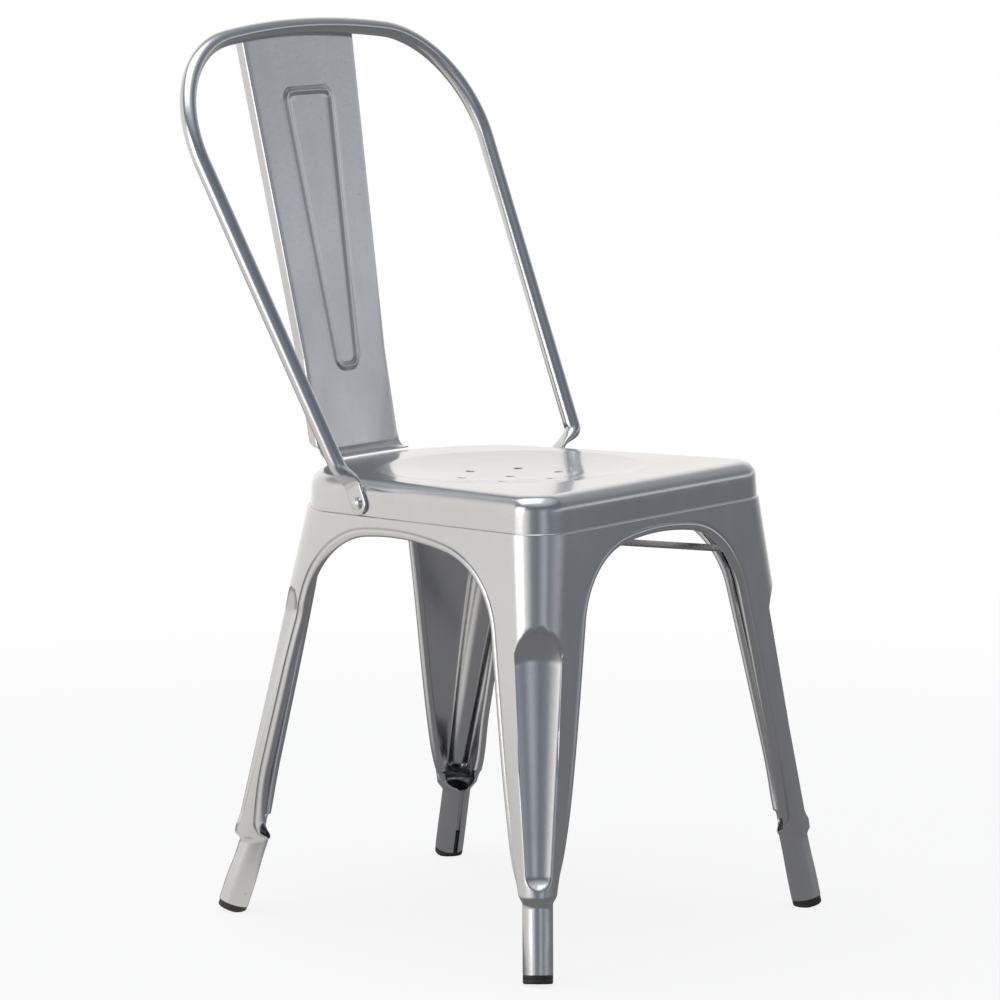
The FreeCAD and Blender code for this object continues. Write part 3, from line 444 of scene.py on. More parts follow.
def leg_mesh(leg):
    rows = leg_rows(leg)
    sheet = [face_row(leg, *row) for row in rows]
    columns = len(sheet[0])

    # from the arches' crown up to the seam, and over its rounded shoulder
    upper = []
    crown = sheet[0]
    for t in steps(1.0, 0.1, RISING_ROWS):
        heights = [lerp(z, seam_height(y) - SHOULDER_ROUND, t) for _, y, z in crown]
        upper.append(face_row(leg, None, None, heights))
    shoulder = []
    top = upper[0]
    for angle in steps(90.0, 0.0, 7)[:-1]:
        shoulder.append(shoulder_row(top, SHOULDER_ROUND, math.radians(angle)))
    under = shoulder_row(top, SHOULDER_ROUND, math.radians(90.0), EDGE_TURN_IN)
    sheet = [under] + shoulder + upper + sheet
    first_rim = len(shoulder) + len(upper) + 1

    # the foot: the tube's rows end square to its own axis
    foot = [leg_foot_row(leg, sheet[-1], z) for z in steps(TUBE_TOP, GLIDE_HEIGHT, 24)[1:]]
    sheet += foot

    verts = [p for row in sheet for p in row]
    faces = grid_faces(len(sheet), columns, flip=not leg.front)

    # rolled rims along both arches, down to where the tube closes
    rim_rows = sheet[first_rim:len(sheet) - len(foot)]
    for side_arm in (False, True):
        last = columns - 1 if side_arm else 0
        line = [Vector(row[last]) for row in rim_rows]
        first = len(verts)
        before = Vector((0.0, 0.0, -1.0))
        for i, point in enumerate(line):
            ahead = line[min(i + 1, len(line) - 1)]
            back = line[max(i - 1, 0)]
            run = (ahead - back).normalized()
            if i == 0 and side_arm:
                run = Vector((0.0, -1.0 if leg.front else 1.0, 0.0))
            elif i == 0:
                run = Vector((-1.0, 0.0, 0.0))
            normal = sheet_normal(leg, side_arm, rows[i], point.z)
            normal = (normal - run * normal.dot(run)).normalized()
            out = normal.cross(run).normalized()
            if out.dot(before) < 0.0:
                out = -out
            before = out
            profile = rim_profile(rows[i][side_arm][2])
            strip = [point] + [point + out * e + normal * n for e, n in profile]
            verts += [tuple(p) for p in strip]
        turned = side_arm == leg.front
        faces += grid_faces(len(line), len(strip), first, flip=not turned)
    return verts, faces


def shoulder_row(row, radius, angle, inset=None):
    """A row turned over the rounded shoulder towards the seat, by an angle."""
    points = []
    for i, point in enumerate(row):
        ahead = row[min(i + 1, len(row) - 1)]
        back = row[max(i - 1, 0)]
        run = unit2((ahead[0] - back[0], ahead[1] - back[1]))
        inward = (-run[1], run[0])
        if inward[0] * point[0] + inward[1] * point[1] > 0.0:
            inward = (-inward[0], -inward[1])
        depth = radius * (1.0 - math.cos(angle)) if inset is None else inset
        x, y = point[0] + inward[0] * depth, point[1] + inward[1] * depth
        points.append((x, y, point[2] + radius * math.sin(angle)))
    return points


def sheet_normal(leg, side_arm, row, z):
    """Outward normal of an arm at its crease, level with the floor."""
    d = row[1][0] if side_arm else row[0][0]
    a = leg.path_point(side_arm, d - 0.5, z, False)
    b = leg.path_point(side_arm, d + 0.5, z, False)
    run = Vector(b) - Vector(a)
    normal = run.cross(Vector((0.0, 0.0, 1.0))).normalized()
    centre = leg.centre(z)
    inner = leg.path_point(side_arm, 0.0, z, False)
    start_normal = Vector((inner[0] - centre[0], inner[1] - centre[1], 0.0)).normalized()
    first_run = Vector(leg.path_point(side_arm, 0.5, z, False)) - Vector(inner)
    side = first_run.cross(Vector((0.0, 0.0, 1.0))).dot(start_normal)
    return normal if side > 0.0 else -normal


def leg_foot_row(leg, top_row, z):
    """The tube's section moved down its leaning axis, level above and square below."""
    centre_top = leg.centre(TUBE_TOP)
    centre = leg.centre(z)
    lean = ((leg.top[0] - leg.foot[0]) / SEAM, (leg.top[1] - leg.foot[1]) / SEAM)
    square = ease(*FOOT_SQUARE, z)
    row = []
    for x, y, _ in top_row:
        dx, dy = x - centre_top[0], y - centre_top[1]
        row.append((centre[0] + dx, centre[1] + dy, z - square * (dx * lean[0] + dy * lean[1])))
    return row


# Seat

SEAT_DEPTH = 33.5
SKIRT_STEP = 1.5
SKIRT_DRAFT = math.radians(3.0)
ROLL = 15.0
DISH_RADIUS = 128.0
DISH_DEPTH = 9.5
DRAIN_RADIUS = 4.25
DRAIN_CIRCLE = 50.0
DISH_BACK = 5.0
SKIRT_ROWS = (0.0, 0.8, 5.0, 10.0, 15.0)
DISH_RINGS = (
    140.0, 137.0, 134.0, 131.5, 129.5, 128.0, 126.5, 124.5,
    122.0, 118.0, 112.0, 104.0, 95.0, 86.0, 77.0, 69.0,
)
AROUND_DISH = 144
AROUND_DRAIN = 36
# rolled lip of a drain hole: how much wider than the hole, and how far down
DRAIN_LIP = ((2.4, 0.0), (0.8, 0.0), (0.45, 0.05), (0.18, 0.2), (0.03, 0.45), (0.0, 0.8))
DRAIN_MARGIN = 4.5
DRAINED_RADIUS = 65.5
GRID_STEP, GRID_ROW, GRID_COUNT = 5.0, 4.33, 15


def seat_point(x, y, z):
    """Point of the seat's own frame, whose origin is under the middle of the dish."""
    run = y - DISH_BACK - FRONT_LINE
    tall, flat = math.sin(SEAT_PITCH), math.cos(SEAT_PITCH)
    return (x, FRONT_LINE + run * flat + z * tall, SEAM - run * tall + z * flat)


def seat_turn(x, y, z):
    """Direction of the seat's own frame, as it is in the chair."""
    tall, flat = math.sin(SEAT_PITCH), math.cos(SEAT_PITCH)
    return Vector((x, y * flat + z * tall, z * flat - y * tall))


def seat_outline():
    """Points of the outline at the seam and their outward normals, going round."""
    front, rear = LEGS[True], LEGS[False]
    fx, fy = front.top
    rx, ry = rear.top
    side = front.side_normal(SEAM)
    bend, rear_normal = rear.bow(SEAM)
    turn_side = math.atan2(side[1], side[0]) % (2.0 * math.pi)
    turn_rear = math.atan2(rear_normal[1], rear_normal[0])
    points = []

    def arc(centre, radius, start, end, count):
        for angle in steps(start, end, count):
            normal = (math.cos(angle), math.sin(angle))
            points.append((on_circle(centre, radius, angle), normal))

    def straight(count):
        """Leaves room for a straight run up to the next point added."""
        points.append(count)

    # from the middle of the rear, anticlockwise seen from above: rear, left, front
    bow = 1.0 / bend
    bow_middle = (0.0, ry + rear.radius_top + REAR_BULGE - bow)
    arc(bow_middle, bow, math.pi / 2.0, turn_rear, 24)
    arc((rx, ry), rear.radius_top, turn_rear, turn_side, 22)
    straight(44)
    arc((fx, fy), front.radius_top, turn_side, 1.5 * math.pi, 24)
    straight(20)
    points.append(((0.0, FRONT_LINE), (0.0, -1.0)))
    half = []
    for i, entry in enumerate(points):
        if isinstance(entry, int):
            (a, na), (b, _) = points[i - 1], points[i + 1]
            for t in steps(0, 1, entry + 2)[1:-1]:
                half.append((tuple(lerp(p, q, t) for p, q in zip(a, b)), na))
        elif not half or math.dist(half[-1][0], entry[0]) > 0.05:
            half.append(entry)
    other = [((-p[0], p[1]), (-n[0], n[1])) for p, n in reversed(half[1:-1])]
    return half + other


def dish_height(r):
    ball = (DISH_RADIUS ** 2 + DISH_DEPTH ** 2) / (2.0 * DISH_DEPTH)
    bottom = SEAT_DEPTH - DISH_DEPTH + ball
    return soft_min(bottom - math.sqrt(ball ** 2 - r * r), SEAT_DEPTH, 0.5)


def fill_between(verts, outer, inner_loops, height, extra=()):
    """Faces between a loop of points and others inside it, by way of extra (x, y) points."""
    def domed(x, y):
        """The same place with straight edges bowed a little, so that no points are in line."""
        return Vector((x, y)) * (1.0 - 1e-7 * (x * x + y * y))

    loops = [outer] + inner_loops
    flat, owner, edges = [], [], []
    for loop in loops:
        first = len(flat)
        flat += [domed(verts[i][0], verts[i][1]) for i in loop]
        owner += loop
        edges += [(first + k, first + (k + 1) % len(loop)) for k in range(len(loop))]
    for x, y in extra:
        flat.append(domed(x, y))
        owner.append(len(verts))
        verts.append((x, y, height(math.hypot(x, y))))
    points, _, faces, origin, _, _ = delaunay_2d_cdt(flat, edges, [], 0, 1e-5)
    index = []
    for k, point in enumerate(points):
        if origin[k]:
            index.append(owner[origin[k][0]])
        else:
            index.append(len(verts))
            verts.append((point.x, point.y, height(point.length)))
    made = []
    shapes = [[tuple(domed(verts[i][0], verts[i][1])) for i in loop] for loop in loops]
    for face in faces:
        x = sum(points[k].x for k in face) / len(face)
        y = sum(points[k].y for k in face) / len(face)
        if within(shapes[0], x, y) and not any(within(shape, x, y) for shape in shapes[1:]):
            made.append(tuple(index[k] for k in face))
    return made


def within(loop, x, y):
    """Whether a point lies inside a closed loop of points."""
    inside = False
    for (ax, ay), (bx, by) in zip(loop, loop[1:] + loop[:1]):
        if (ay > y) != (by > y) and x < (bx - ax) * (y - ay) / (by - ay) + ax:
            inside = not inside
    return inside


def seat_mesh():
    outline = [((x, y + DISH_BACK), n) for (x, y), n in seat_outline()]
    count = len(outline)
    rings = [(SKIRT_STEP + h * math.tan(SKIRT_DRAFT), h) for h in SKIRT_ROWS]
    # the roll starts square to the drafted skirt and ends level with the top
    start = SEAT_DEPTH - ROLL + ROLL * math.sin(SKIRT_DRAFT)
    lean = SKIRT_STEP + start * math.tan(SKIRT_DRAFT)
    middle = lean + ROLL * math.cos(SKIRT_DRAFT)
    for angle in steps(SKIRT_DRAFT, math.pi / 2.0, 16):
        rings.append((middle - ROLL * math.cos(angle), SEAT_DEPTH - ROLL + ROLL * math.sin(angle)))
    rings += [(middle + further, SEAT_DEPTH) for further in (0.8, 2.4)]
    verts = []
    for inset, h in rings:
        for (x, y), n in outline:
            verts.append((x - n[0] * inset, y - n[1] * inset, h))
    faces = grid_faces(len(rings), count, closed=True)
    loop = [len(verts) - count + k for k in range(count)]

    # the dish in rings about its middle, with the drained middle left open
    first = len(verts)
    for r in DISH_RINGS:
        for k in range(AROUND_DISH):
            x, y = on_circle((0.0, 0.0), r, 2.0 * math.pi * k / AROUND_DISH)
            verts.append((x, y, dish_height(r)))
    faces += grid_faces(len(DISH_RINGS), AROUND_DISH, first, closed=True, flip=True)
    dish_rim = [first + k for k in range(AROUND_DISH)]
    dish_middle = [len(verts) - AROUND_DISH + k for k in range(AROUND_DISH)]
    faces += fill_between(verts, loop, [dish_rim], dish_height)

    # drain holes with a small rolled lip
    lips = []
    places = [(0.0, 0.0)]
    places += [on_circle((0.0, 0.0), DRAIN_CIRCLE, math.radians(90.0 + 60.0 * k)) for k in range(6)]
    for hole in places:
        start_lip = len(verts)
        for wider, drop in DRAIN_LIP:
            for k in range(AROUND_DRAIN):
                x, y = on_circle(hole, DRAIN_RADIUS + wider, 2.0 * math.pi * k / AROUND_DRAIN)
                verts.append((x, y, dish_height(math.hypot(x, y)) - drop))
        faces += grid_faces(len(DRAIN_LIP), AROUND_DRAIN, start_lip, closed=True, flip=True)
        lips.append([start_lip + k for k in range(AROUND_DRAIN)])
    between = []
    for i in range(-GRID_COUNT, GRID_COUNT + 1):
        for j in range(-GRID_COUNT, GRID_COUNT + 1):
            x, y = GRID_STEP * i + GRID_STEP / 2.0 * (j % 2), GRID_ROW * j
            clear = min(math.dist((x, y), hole) for hole in places) > DRAIN_RADIUS + DRAIN_MARGIN
            if clear and math.hypot(x, y) < DRAINED_RADIUS:
                between.append((x, y))
    faces += fill_between(verts, dish_middle, lips, dish_height, between)

    placed = [seat_point(*v) for v in verts]
    upward = []
    for face in faces:
        a, b, c, d = (Vector(placed[face[k]]) for k in (0, 1, 2, -1))
        middle = sum((Vector(placed[k]) for k in face), Vector()) / len(face)
        normal = (c - a).cross(d - b)
        x, y, h = (sum(verts[k][c] for k in face) / len(face) for c in range(3))
        level = h > SEAT_DEPTH - 2.0 or math.hypot(x, y) < DISH_RADIUS
        outward = Vector((0.0, 0.0, 1.0)) if level else middle - Vector((0.0, 0.0, SEAM - ROLL))
        upward.append(face if normal.dot(outward) > 0.0 else tuple(reversed(face)))
    return placed, upward


# Back hoop

TUBE = 8.0
HOOP_LEAN = math.radians(26.5)
HOOP_LEVEL = 490.0
HOOP_REACH = 80.0
HOOP_HALF = 184.3
HOOP_SPREAD = 0.106
HOOP_TOP = 401.0
HOOP_SHOULDER = 113.0
HOOP_CROWN = 850.0
HOOP_BEND = 452.0
PLATE = 3.4
PADDLE_HALF = 10.0
PADDLE_RISE = 16.0
PADDLE_DROP = 11.0
RIVET_RISE = 11.0
RIVET_REACH = 52.5
NECK_REACH = 0.9
NECK_FLAT = 0.8
PADDLE_EDGE = 1.2
PADDLE_SQUARE = 0.45


def hoop_point(x, along):
    y = HOOP_REACH + along * math.sin(HOOP_LEAN)
    return Vector((x, y, HOOP_LEVEL + along * math.cos(HOOP_LEAN)))


def rivet_frame():
    """Left rivet on the skirt: its place, and its directions across, up and outwards."""
    leg = LEGS[True]
    side = leg.side_normal(SEAM)
    turn = math.acos(-side[0])
    fx, fy = -leg.top[0], leg.top[1]
    face = fx * math.cos(turn) + fy * math.sin(turn) + leg.radius_top
    face = face - SKIRT_STEP - RIVET_RISE * math.tan(SKIRT_DRAFT)
    x = (face - RIVET_REACH * math.sin(turn)) / math.cos(turn)
    level = math.cos(SKIRT_DRAFT)
    out = Vector((-math.cos(turn) * level, math.sin(turn) * level, math.sin(SKIRT_DRAFT)))
    along = Vector((0.0, math.sin(HOOP_LEAN), math.cos(HOOP_LEAN)))
    across = along.cross(out).normalized()
    along = out.cross(across)
    place = Vector(seat_point(-x, RIVET_REACH + DISH_BACK, RIVET_RISE))
    return place, seat_turn(*across), seat_turn(*along), seat_turn(*out)


def hoop_centreline():
    """Sections down the left half from the crown, as (point, half width, half depth, how
    flat), and the direction across the flattened end."""
    middle = HOOP_TOP - HOOP_CROWN
    norm = math.hypot(1.0, HOOP_SPREAD)
    # arms widen upwards, so the side line runs out as it climbs
    down = (-HOOP_SPREAD / norm, -1.0 / norm)
    inward = (-1.0 / norm, HOOP_SPREAD / norm)
    base = (HOOP_HALF + HOOP_SHOULDER * inward[0], HOOP_SHOULDER * inward[1] - middle)
    along = -(base[0] * down[0] + base[1] * down[1])
    rest = base[0] ** 2 + base[1] ** 2 - (HOOP_CROWN - HOOP_SHOULDER) ** 2
    step = -along + math.sqrt(along * along - rest)
    centre = (base[0] - down[0] * step, base[1] - down[1] * step + middle)
    turn = math.atan2(centre[1] - middle, centre[0])
    end = math.atan2(-inward[1], -inward[0])
    line = []
    for angle in steps(math.pi / 2.0, turn, 40):
        line.append(on_circle((0.0, middle), HOOP_CROWN, angle))
    for angle in steps(turn, end, 44)[1:]:
        line.append(on_circle(centre, HOOP_SHOULDER, angle))
    bend = (HOOP_BEND - HOOP_LEVEL) / math.cos(HOOP_LEAN)
    goal = (HOOP_HALF + HOOP_SPREAD * bend, bend)
    line += [tuple(lerp(a, b, t) for a, b in zip(line[-1], goal)) for t in steps(0.0, 1.0, 50)[1:]]
    points = [hoop_point(-x, w) for x, w in line]
    place, across, up, out = rivet_frame()
    start = points[-1]
    heading = (points[-1] - points[-2]).normalized()
    top = place + up * PADDLE_RISE + out * (PLATE / 2.0)
    reach = (top - start).length * NECK_REACH
    sections = [(p, TUBE, TUBE, 0.0) for p in points]
    for t in steps(0.0, 1.0, 26)[1:]:
        a, b = 2 * t ** 3 - 3 * t ** 2 + 1, t ** 3 - 2 * t ** 2 + t
        c, d = 3 * t ** 2 - 2 * t ** 3, t ** 3 - t ** 2
        point = start * a + heading * reach * b + top * c - up * reach * d
        flat = ease(0.0, NECK_FLAT, t)
        sections.append((point, lerp(TUBE, PADDLE_HALF, flat), lerp(TUBE, PLATE / 2.0, flat), flat))
    length = PADDLE_RISE + PADDLE_DROP
    for s in steps(0.0, 1.0, 20)[1:]:
        d = s * length
        left = length - d
        half = PADDLE_HALF
        if left < PADDLE_HALF:
            half = math.sqrt(max(PADDLE_HALF ** 2 - (PADDLE_HALF - left) ** 2, 0.01))
        depth = PLATE / 2.0 * min(1.0, math.sqrt(max(left, 0.02) / PADDLE_EDGE))
        sections.append((top - up * d, half, depth, 1.0))
    return sections, across


def hoop_mesh():
    sections, across_end = hoop_centreline()
    lean_normal = Vector((0.0, math.cos(HOOP_LEAN), -math.sin(HOOP_LEAN)))
    around = 36
    left = []
    for i, (point, half, depth, flat) in enumerate(sections):
        ahead = sections[min(i + 1, len(sections) - 1)][0]
        back = sections[max(i - 1, 0)][0]
        run = (ahead - back).normalized()
        # round along the arm, then as wide as the paddle along the skirt
        across = across_end if flat > 0.0 else lean_normal
        across = (across - run * across.dot(run)).normalized()
        out = run.cross(across).normalized()
        ring = []
        power = lerp(1.0, PADDLE_SQUARE, ease(0.3, 1.0, flat))
        for k in range(around):
            angle = 2.0 * math.pi * k / around
            c, s = math.cos(angle), math.sin(angle)
            c = math.copysign(abs(c) ** power, c)
            s = math.copysign(abs(s) ** power, s)
            ring.append(point + across * (c * half) + out * (s * depth))
        left.append(ring)
    for i in range(1, len(left)):
        left[i] = nearest_order(left[i], left[i - 1])
    right = [[Vector((-p.x, p.y, p.z)) for p in ring] for ring in left[1:]]
    for i in range(len(right)):
        right[i] = nearest_order(right[i], left[0] if i == 0 else right[i - 1])
    rings = list(reversed(left)) + right
    verts = [tuple(p) for ring in rings for p in ring]
    faces = grid_faces(len(rings), around, closed=True)
    for ring, flip in ((0, False), (len(rings) - 1, True)):
        middle = sum((Vector(verts[ring * around + k]) for k in range(around)), Vector()) / around
        verts.append(tuple(middle))
        for k in range(around):
            face = (ring * around + k, ring * around + (k + 1) % around, len(verts) - 1)
            faces.append(tuple(reversed(face)) if flip else face)
    return verts, faces


def nearest_order(ring, before):
    """The ring's points in the order and direction that best match the ring before."""
    best = None
    count = len(ring)
    for order in (ring, list(reversed(ring))):
        for shift in range(count):
            turned_ring = [order[(k + shift) % count] for k in range(count)]
            cost = sum((turned_ring[k] - before[k]).length_squared for k in range(0, count, 6))
            if best is None or cost < best[0]:
                best = (cost, turned_ring)
    return best[1]


# Splat

SPLAT_LEAN = math.radians(11.2)
SPLAT_REACH = 204.1
SPLAT_LOW, SPLAT_TOP = 530.0, 846.0
SPLAT_LOW_HALF, SPLAT_TOP_HALF = 59.5, 81.0
SPLAT_BEND = 12.0
SPLAT_FOOT = 3.0
FLANGE = 10.0
FOLD = 2.2
BEAD_HALF = 4.25
BEAD_RISE = 1.6
BEAD_TOP, BEAD_LOW = 786.0, 518.0
BEAD_TOP_HALF, BEAD_LOW_HALF = 33.2, 14.0
BEAD_CORNER = 9.0
BEAD_SLOPE = (BEAD_TOP_HALF - BEAD_LOW_HALF) / (BEAD_TOP - BEAD_LOW)


def bead_distance(x, z):
    """Distance from the middle line of the pressed frame, seen from the front."""
    side = (abs(x) - BEAD_LOW_HALF - BEAD_SLOPE * (z - BEAD_LOW)) / math.hypot(1.0, BEAD_SLOPE)
    upper, lower = z - BEAD_TOP, BEAD_LOW - z
    worst = []
    for edge in (upper, lower):
        a, b = side + BEAD_CORNER, edge + BEAD_CORNER
        worst.append(math.hypot(max(a, 0.0), max(b, 0.0)) + min(max(a, b), 0.0) - BEAD_CORNER)
    return abs(max(worst))


def splat_mesh():
    up = Vector((0.0, math.sin(SPLAT_LEAN), math.cos(SPLAT_LEAN)))
    back = Vector((0.0, math.cos(SPLAT_LEAN), -math.sin(SPLAT_LEAN)))
    anchor = Vector((0.0, SPLAT_REACH, SPLAT_LOW))
    level = seat_turn(0.0, 0.0, 1.0)
    on_seat = Vector(seat_point(0.0, 0.0, SEAT_DEPTH))
    forward = seat_turn(0.0, -1.0, 0.0)
    ahead = anchor + back * (SHEET - SPLAT_BEND)
    climb = (SPLAT_BEND + (on_seat - ahead).dot(level)) / up.dot(level)
    middle = ahead + up * climb
    inner = SPLAT_BEND - SHEET
    line = []
    edge_top = anchor + up * ((SPLAT_TOP - SPLAT_LOW) / up.z)
    bottom = middle + back * inner
    # rows, closer together across the ends of the pressed frame
    heights = [SPLAT_TOP - d for d in (0.0, 0.4, 1.0, 3.0, 7.0)]
    heights += steps(SPLAT_TOP - 12.0, BEAD_TOP + 8.0, 12)
    heights += steps(BEAD_TOP + 6.0, BEAD_TOP - 14.0, 28)
    heights += steps(BEAD_TOP - 18.0, BEAD_LOW + 18.0, 60)
    heights += steps(BEAD_LOW + 14.0, BEAD_LOW - 6.0, 28)
    heights += steps(BEAD_LOW - 8.0, bottom.z + 1.0, 20)
    for z in heights:
        line.append((edge_top + up * ((z - SPLAT_TOP) / up.z), -back, z))
    turn = math.acos(max(-1.0, min(1.0, back.dot(-level))))
    downward = (-level - back * back.dot(-level)).normalized()
    for angle in steps(0.0, turn, 14):
        out = back * math.cos(angle) + downward * math.sin(angle)
        line.append((middle + out * inner, -out, None))
    last = line[-1]
    line.append((last[0] + forward * SPLAT_FOOT, level, None))

    # across: folded side, bend, panel with close columns by the pressed frame, mirrored
    near = steps(-1.0, 1.0, 13)
    columns = [("flange", t) for t in (1.0, 0.55, 0.1)]
    columns += [("fold", t) for t in steps(1.0, 0.0, 6)]
    columns += [("wide", t) for t in (0.92, 0.75, 0.55, 0.35, 0.15)]
    columns += [("bead", t) for t in reversed(near)]
    columns += [("middle", t) for t in (0.8, 0.6, 0.4, 0.2)]
    signs = [(-1.0, c) for c in columns] + [(1.0, ("middle", 0.0))]
    signs += [(1.0, c) for c in reversed(columns)]
    verts = []
    for place, normal, z in line:
        height = z if z is not None else place.z
        half = SPLAT_LOW_HALF
        if height > SPLAT_LOW:
            share = (height - SPLAT_LOW) / (SPLAT_TOP - SPLAT_LOW)
            half = lerp(SPLAT_LOW_HALF, SPLAT_TOP_HALF, share)
        bead = max(BEAD_LOW_HALF + BEAD_SLOPE * (height - BEAD_LOW), BEAD_HALF * 2.0)
        fade = ease(bottom.z, bottom.z + 7.0, height) if z is not None else 0.0
        for sign, (kind, t) in signs:
            depth = 0.0
            if kind == "flange":
                x, depth = half, lerp(FOLD, FLANGE, t) * fade
            elif kind == "fold":
                x = half - FOLD + FOLD * math.sin(t * math.pi / 2.0)
                depth = FOLD * (1.0 - math.cos(t * math.pi / 2.0)) * fade
            elif kind == "wide":
                x = lerp(bead + BEAD_HALF, half - FOLD, t)
            elif kind == "bead":
                x = bead + BEAD_HALF * t
            else:
                x = (bead - BEAD_HALF) * t
            rise = 0.0
            if z is not None and kind not in ("flange", "fold"):
                away = bead_distance(x, height) / BEAD_HALF
                if away < 1.0:
                    rise = BEAD_RISE * (0.5 + 0.5 * math.cos(math.pi * away)) ** 0.8
            point = place + normal * (rise - depth)
            verts.append((sign * x, point.y, point.z))
    faces = grid_faces(len(line), len(signs))
    return verts, faces


# Small parts

def turned(profile, place, across, along, up, around=40):
    """Closed body turned about an axis from (radius, height) points, bottom first."""
    verts = []
    for r, h in profile:
        for k in range(around):
            angle = 2.0 * math.pi * k / around
            point = place + across * (r * math.cos(angle)) + along * (r * math.sin(angle))
            verts.append(tuple(point + up * h))
    faces = grid_faces(len(profile), around, closed=True)
    for row, flip in ((0, True), (len(profile) - 1, False)):
        radius, height = profile[row]
        verts.append(tuple(place + up * height))
        for k in range(around):
            face = (row * around + k, row * around + (k + 1) % around, len(verts) - 1)
            faces.append(tuple(reversed(face)) if flip else face)
    return verts, faces


def rivet_mesh():
    """Domed head over the flattened hoop end, shank, and a tail inside the skirt."""
    place, across, along, out = rivet_frame()
    head, dome, shank, tail, rim = 6.5, 4.0, 3.0, 4.5, 0.5
    profile = [(tail, -SHEET - 2.0), (tail, -SHEET - 0.6), (tail - 0.3, -SHEET)]
    profile += [(shank, -SHEET), (shank, PLATE), (head - 0.15, PLATE), (head, PLATE + rim / 2.0)]
    ball = (head ** 2 + (dome - rim) ** 2) / (2.0 * (dome - rim))
    for angle in steps(0.0, math.pi / 2.0, 14):
        r = head * math.cos(angle)
        profile.append((max(r, 0.02), PLATE + dome - ball + math.sqrt(ball ** 2 - r * r)))
    return turned(profile, place, across, along, out)


def foot_axis(leg):
    """Where a left foot's axis meets the glide's underside, and the axis's direction."""
    low = Vector((leg.foot[0], leg.foot[1], 0.0))
    axis = (Vector((leg.top[0], leg.top[1], SEAM)) - low).normalized()
    rise = (FOOT_RADIUS * math.sin(math.acos(axis.z)) - GLIDE_FLAT) / axis.z
    return low + axis * rise, axis


def glide_mesh(leg):
    start, axis = foot_axis(leg)
    out = Vector((leg.foot[0], leg.foot[1], 0.0)).normalized()
    across = axis.cross(out).normalized()
    out = across.cross(axis)
    r, plug = FOOT_RADIUS, GLIDE_PLUG
    profile = [(r - 2.2, 0.0), (r - 1.1, 0.15), (r - 0.35, 0.7), (r, 1.6)]
    # a fine parting line runs round the shoe
    profile += [(r, 4.0), (r - 0.18, 4.25), (r, 4.5), (r, 7.6)]
    profile += [(r - 0.2, 8.3), (r - 0.7, GLIDE_HEIGHT), (plug, GLIDE_HEIGHT)]
    profile += [(plug, GLIDE_PLUG_TOP - 1.5), (plug - 1.0, GLIDE_PLUG_TOP)]
    verts, faces = turned(profile, start, out, across, axis, 48)
    return [(x, y, max(z, 0.0)) for x, y, z in verts], faces


# Finishes

class Shade:
    """A shader value; arithmetic on it adds Math nodes."""

    def __init__(self, tree, socket):
        self.tree, self.socket = tree, socket

    def math(self, operation, *values):
        return make(self.tree, "ShaderNodeMath", {"operation": operation}, dict(enumerate(values)))

    def __add__(self, other):
        return self.math("ADD", self, other)

    def __radd__(self, other):
        return self.math("ADD", other, self)

    def __sub__(self, other):
        return self.math("SUBTRACT", self, other)

    def __rsub__(self, other):
        return self.math("SUBTRACT", other, self)

    def __mul__(self, other):
        return self.math("MULTIPLY", self, other)

    def __rmul__(self, other):
        return self.math("MULTIPLY", other, self)

    def __truediv__(self, other):
        return self.math("DIVIDE", self, other)

    def __rtruediv__(self, other):
        return self.math("DIVIDE", other, self)

    def __pow__(self, other):
        return self.math("POWER", self, other)

    def __rpow__(self, other):
        return self.math("POWER", other, self)


def make(tree, kind, settings=None, sockets=None, output=0):
    """Adds a node: its settings first, then the values or links of its sockets.

    Gives one output, a list of them for a tuple, or nothing for a node that has none."""
    node = tree.nodes.new(kind)
    for name, value in (settings or {}).items():
        if name == "stops":
            ramp = node.color_ramp
            while len(ramp.elements) < len(value):
                ramp.elements.new(0.5)
            for element, (at, colour) in zip(ramp.elements, value):
                element.position = at
                element.color = opaque(colour)
        else:
            setattr(node, name, value)
    for name, value in (sockets or {}).items():
        if isinstance(value, Shade):
            tree.links.new(value.socket, node.inputs[name])
        else:
            node.inputs[name].default_value = value
    if output is None:
        return None
    if isinstance(output, tuple):
        return [Shade(tree, node.outputs[name]) for name in output]
    return Shade(tree, node.outputs[output])


def opaque(colour):
    """A colour of three numbers gets its alpha; a link stays as it is."""
    return (*colour, 1.0) if isinstance(colour, tuple) else colour


def mix_colour(tree, factor, a, b):
    sockets = {0: factor, 6: opaque(a), 7: opaque(b)}
    return make(tree, "ShaderNodeMix", {"data_type": "RGBA"}, sockets, 2)


def split(tree, vector):
    return make(tree, "ShaderNodeSeparateXYZ", {}, {0: vector}, (0, 1, 2))


def noise(tree, place, scale, detail):
    sockets = {"Vector": place, "Scale": scale, "Detail": detail}
    return make(tree, "ShaderNodeTexNoise", {}, sockets)


def ramp(tree, value, *stops):
    return make(tree, "ShaderNodeValToRGB", {"stops": stops}, {0: value})


def ranged(tree, value, start, end, low=0.0, high=1.0, way="SMOOTHSTEP"):
    """Low where a value is at start, high where it is at end."""
    sockets = {0: value, 1: start, 2: end, 3: low, 4: high}
    return make(tree, "ShaderNodeMapRange", {"interpolation_type": way}, sockets)


def bumps(tree, height, strength, distance):
    sockets = {"Strength": strength, "Distance": distance, "Height": height}
    return make(tree, "ShaderNodeBump", {}, sockets)


def blank_material(name):
    material = bpy.data.materials.new(name)
    material.use_nodes = True
    tree = material.node_tree
    tree.nodes.clear()
    return material, tree


def finish_material(tree, sockets):
    """Principled surface; a plain number is set on the shader's own socket."""
    shader = make(tree, "ShaderNodeBsdfPrincipled", {}, sockets)
    make(tree, "ShaderNodeOutputMaterial", {}, {0: shader}, None)


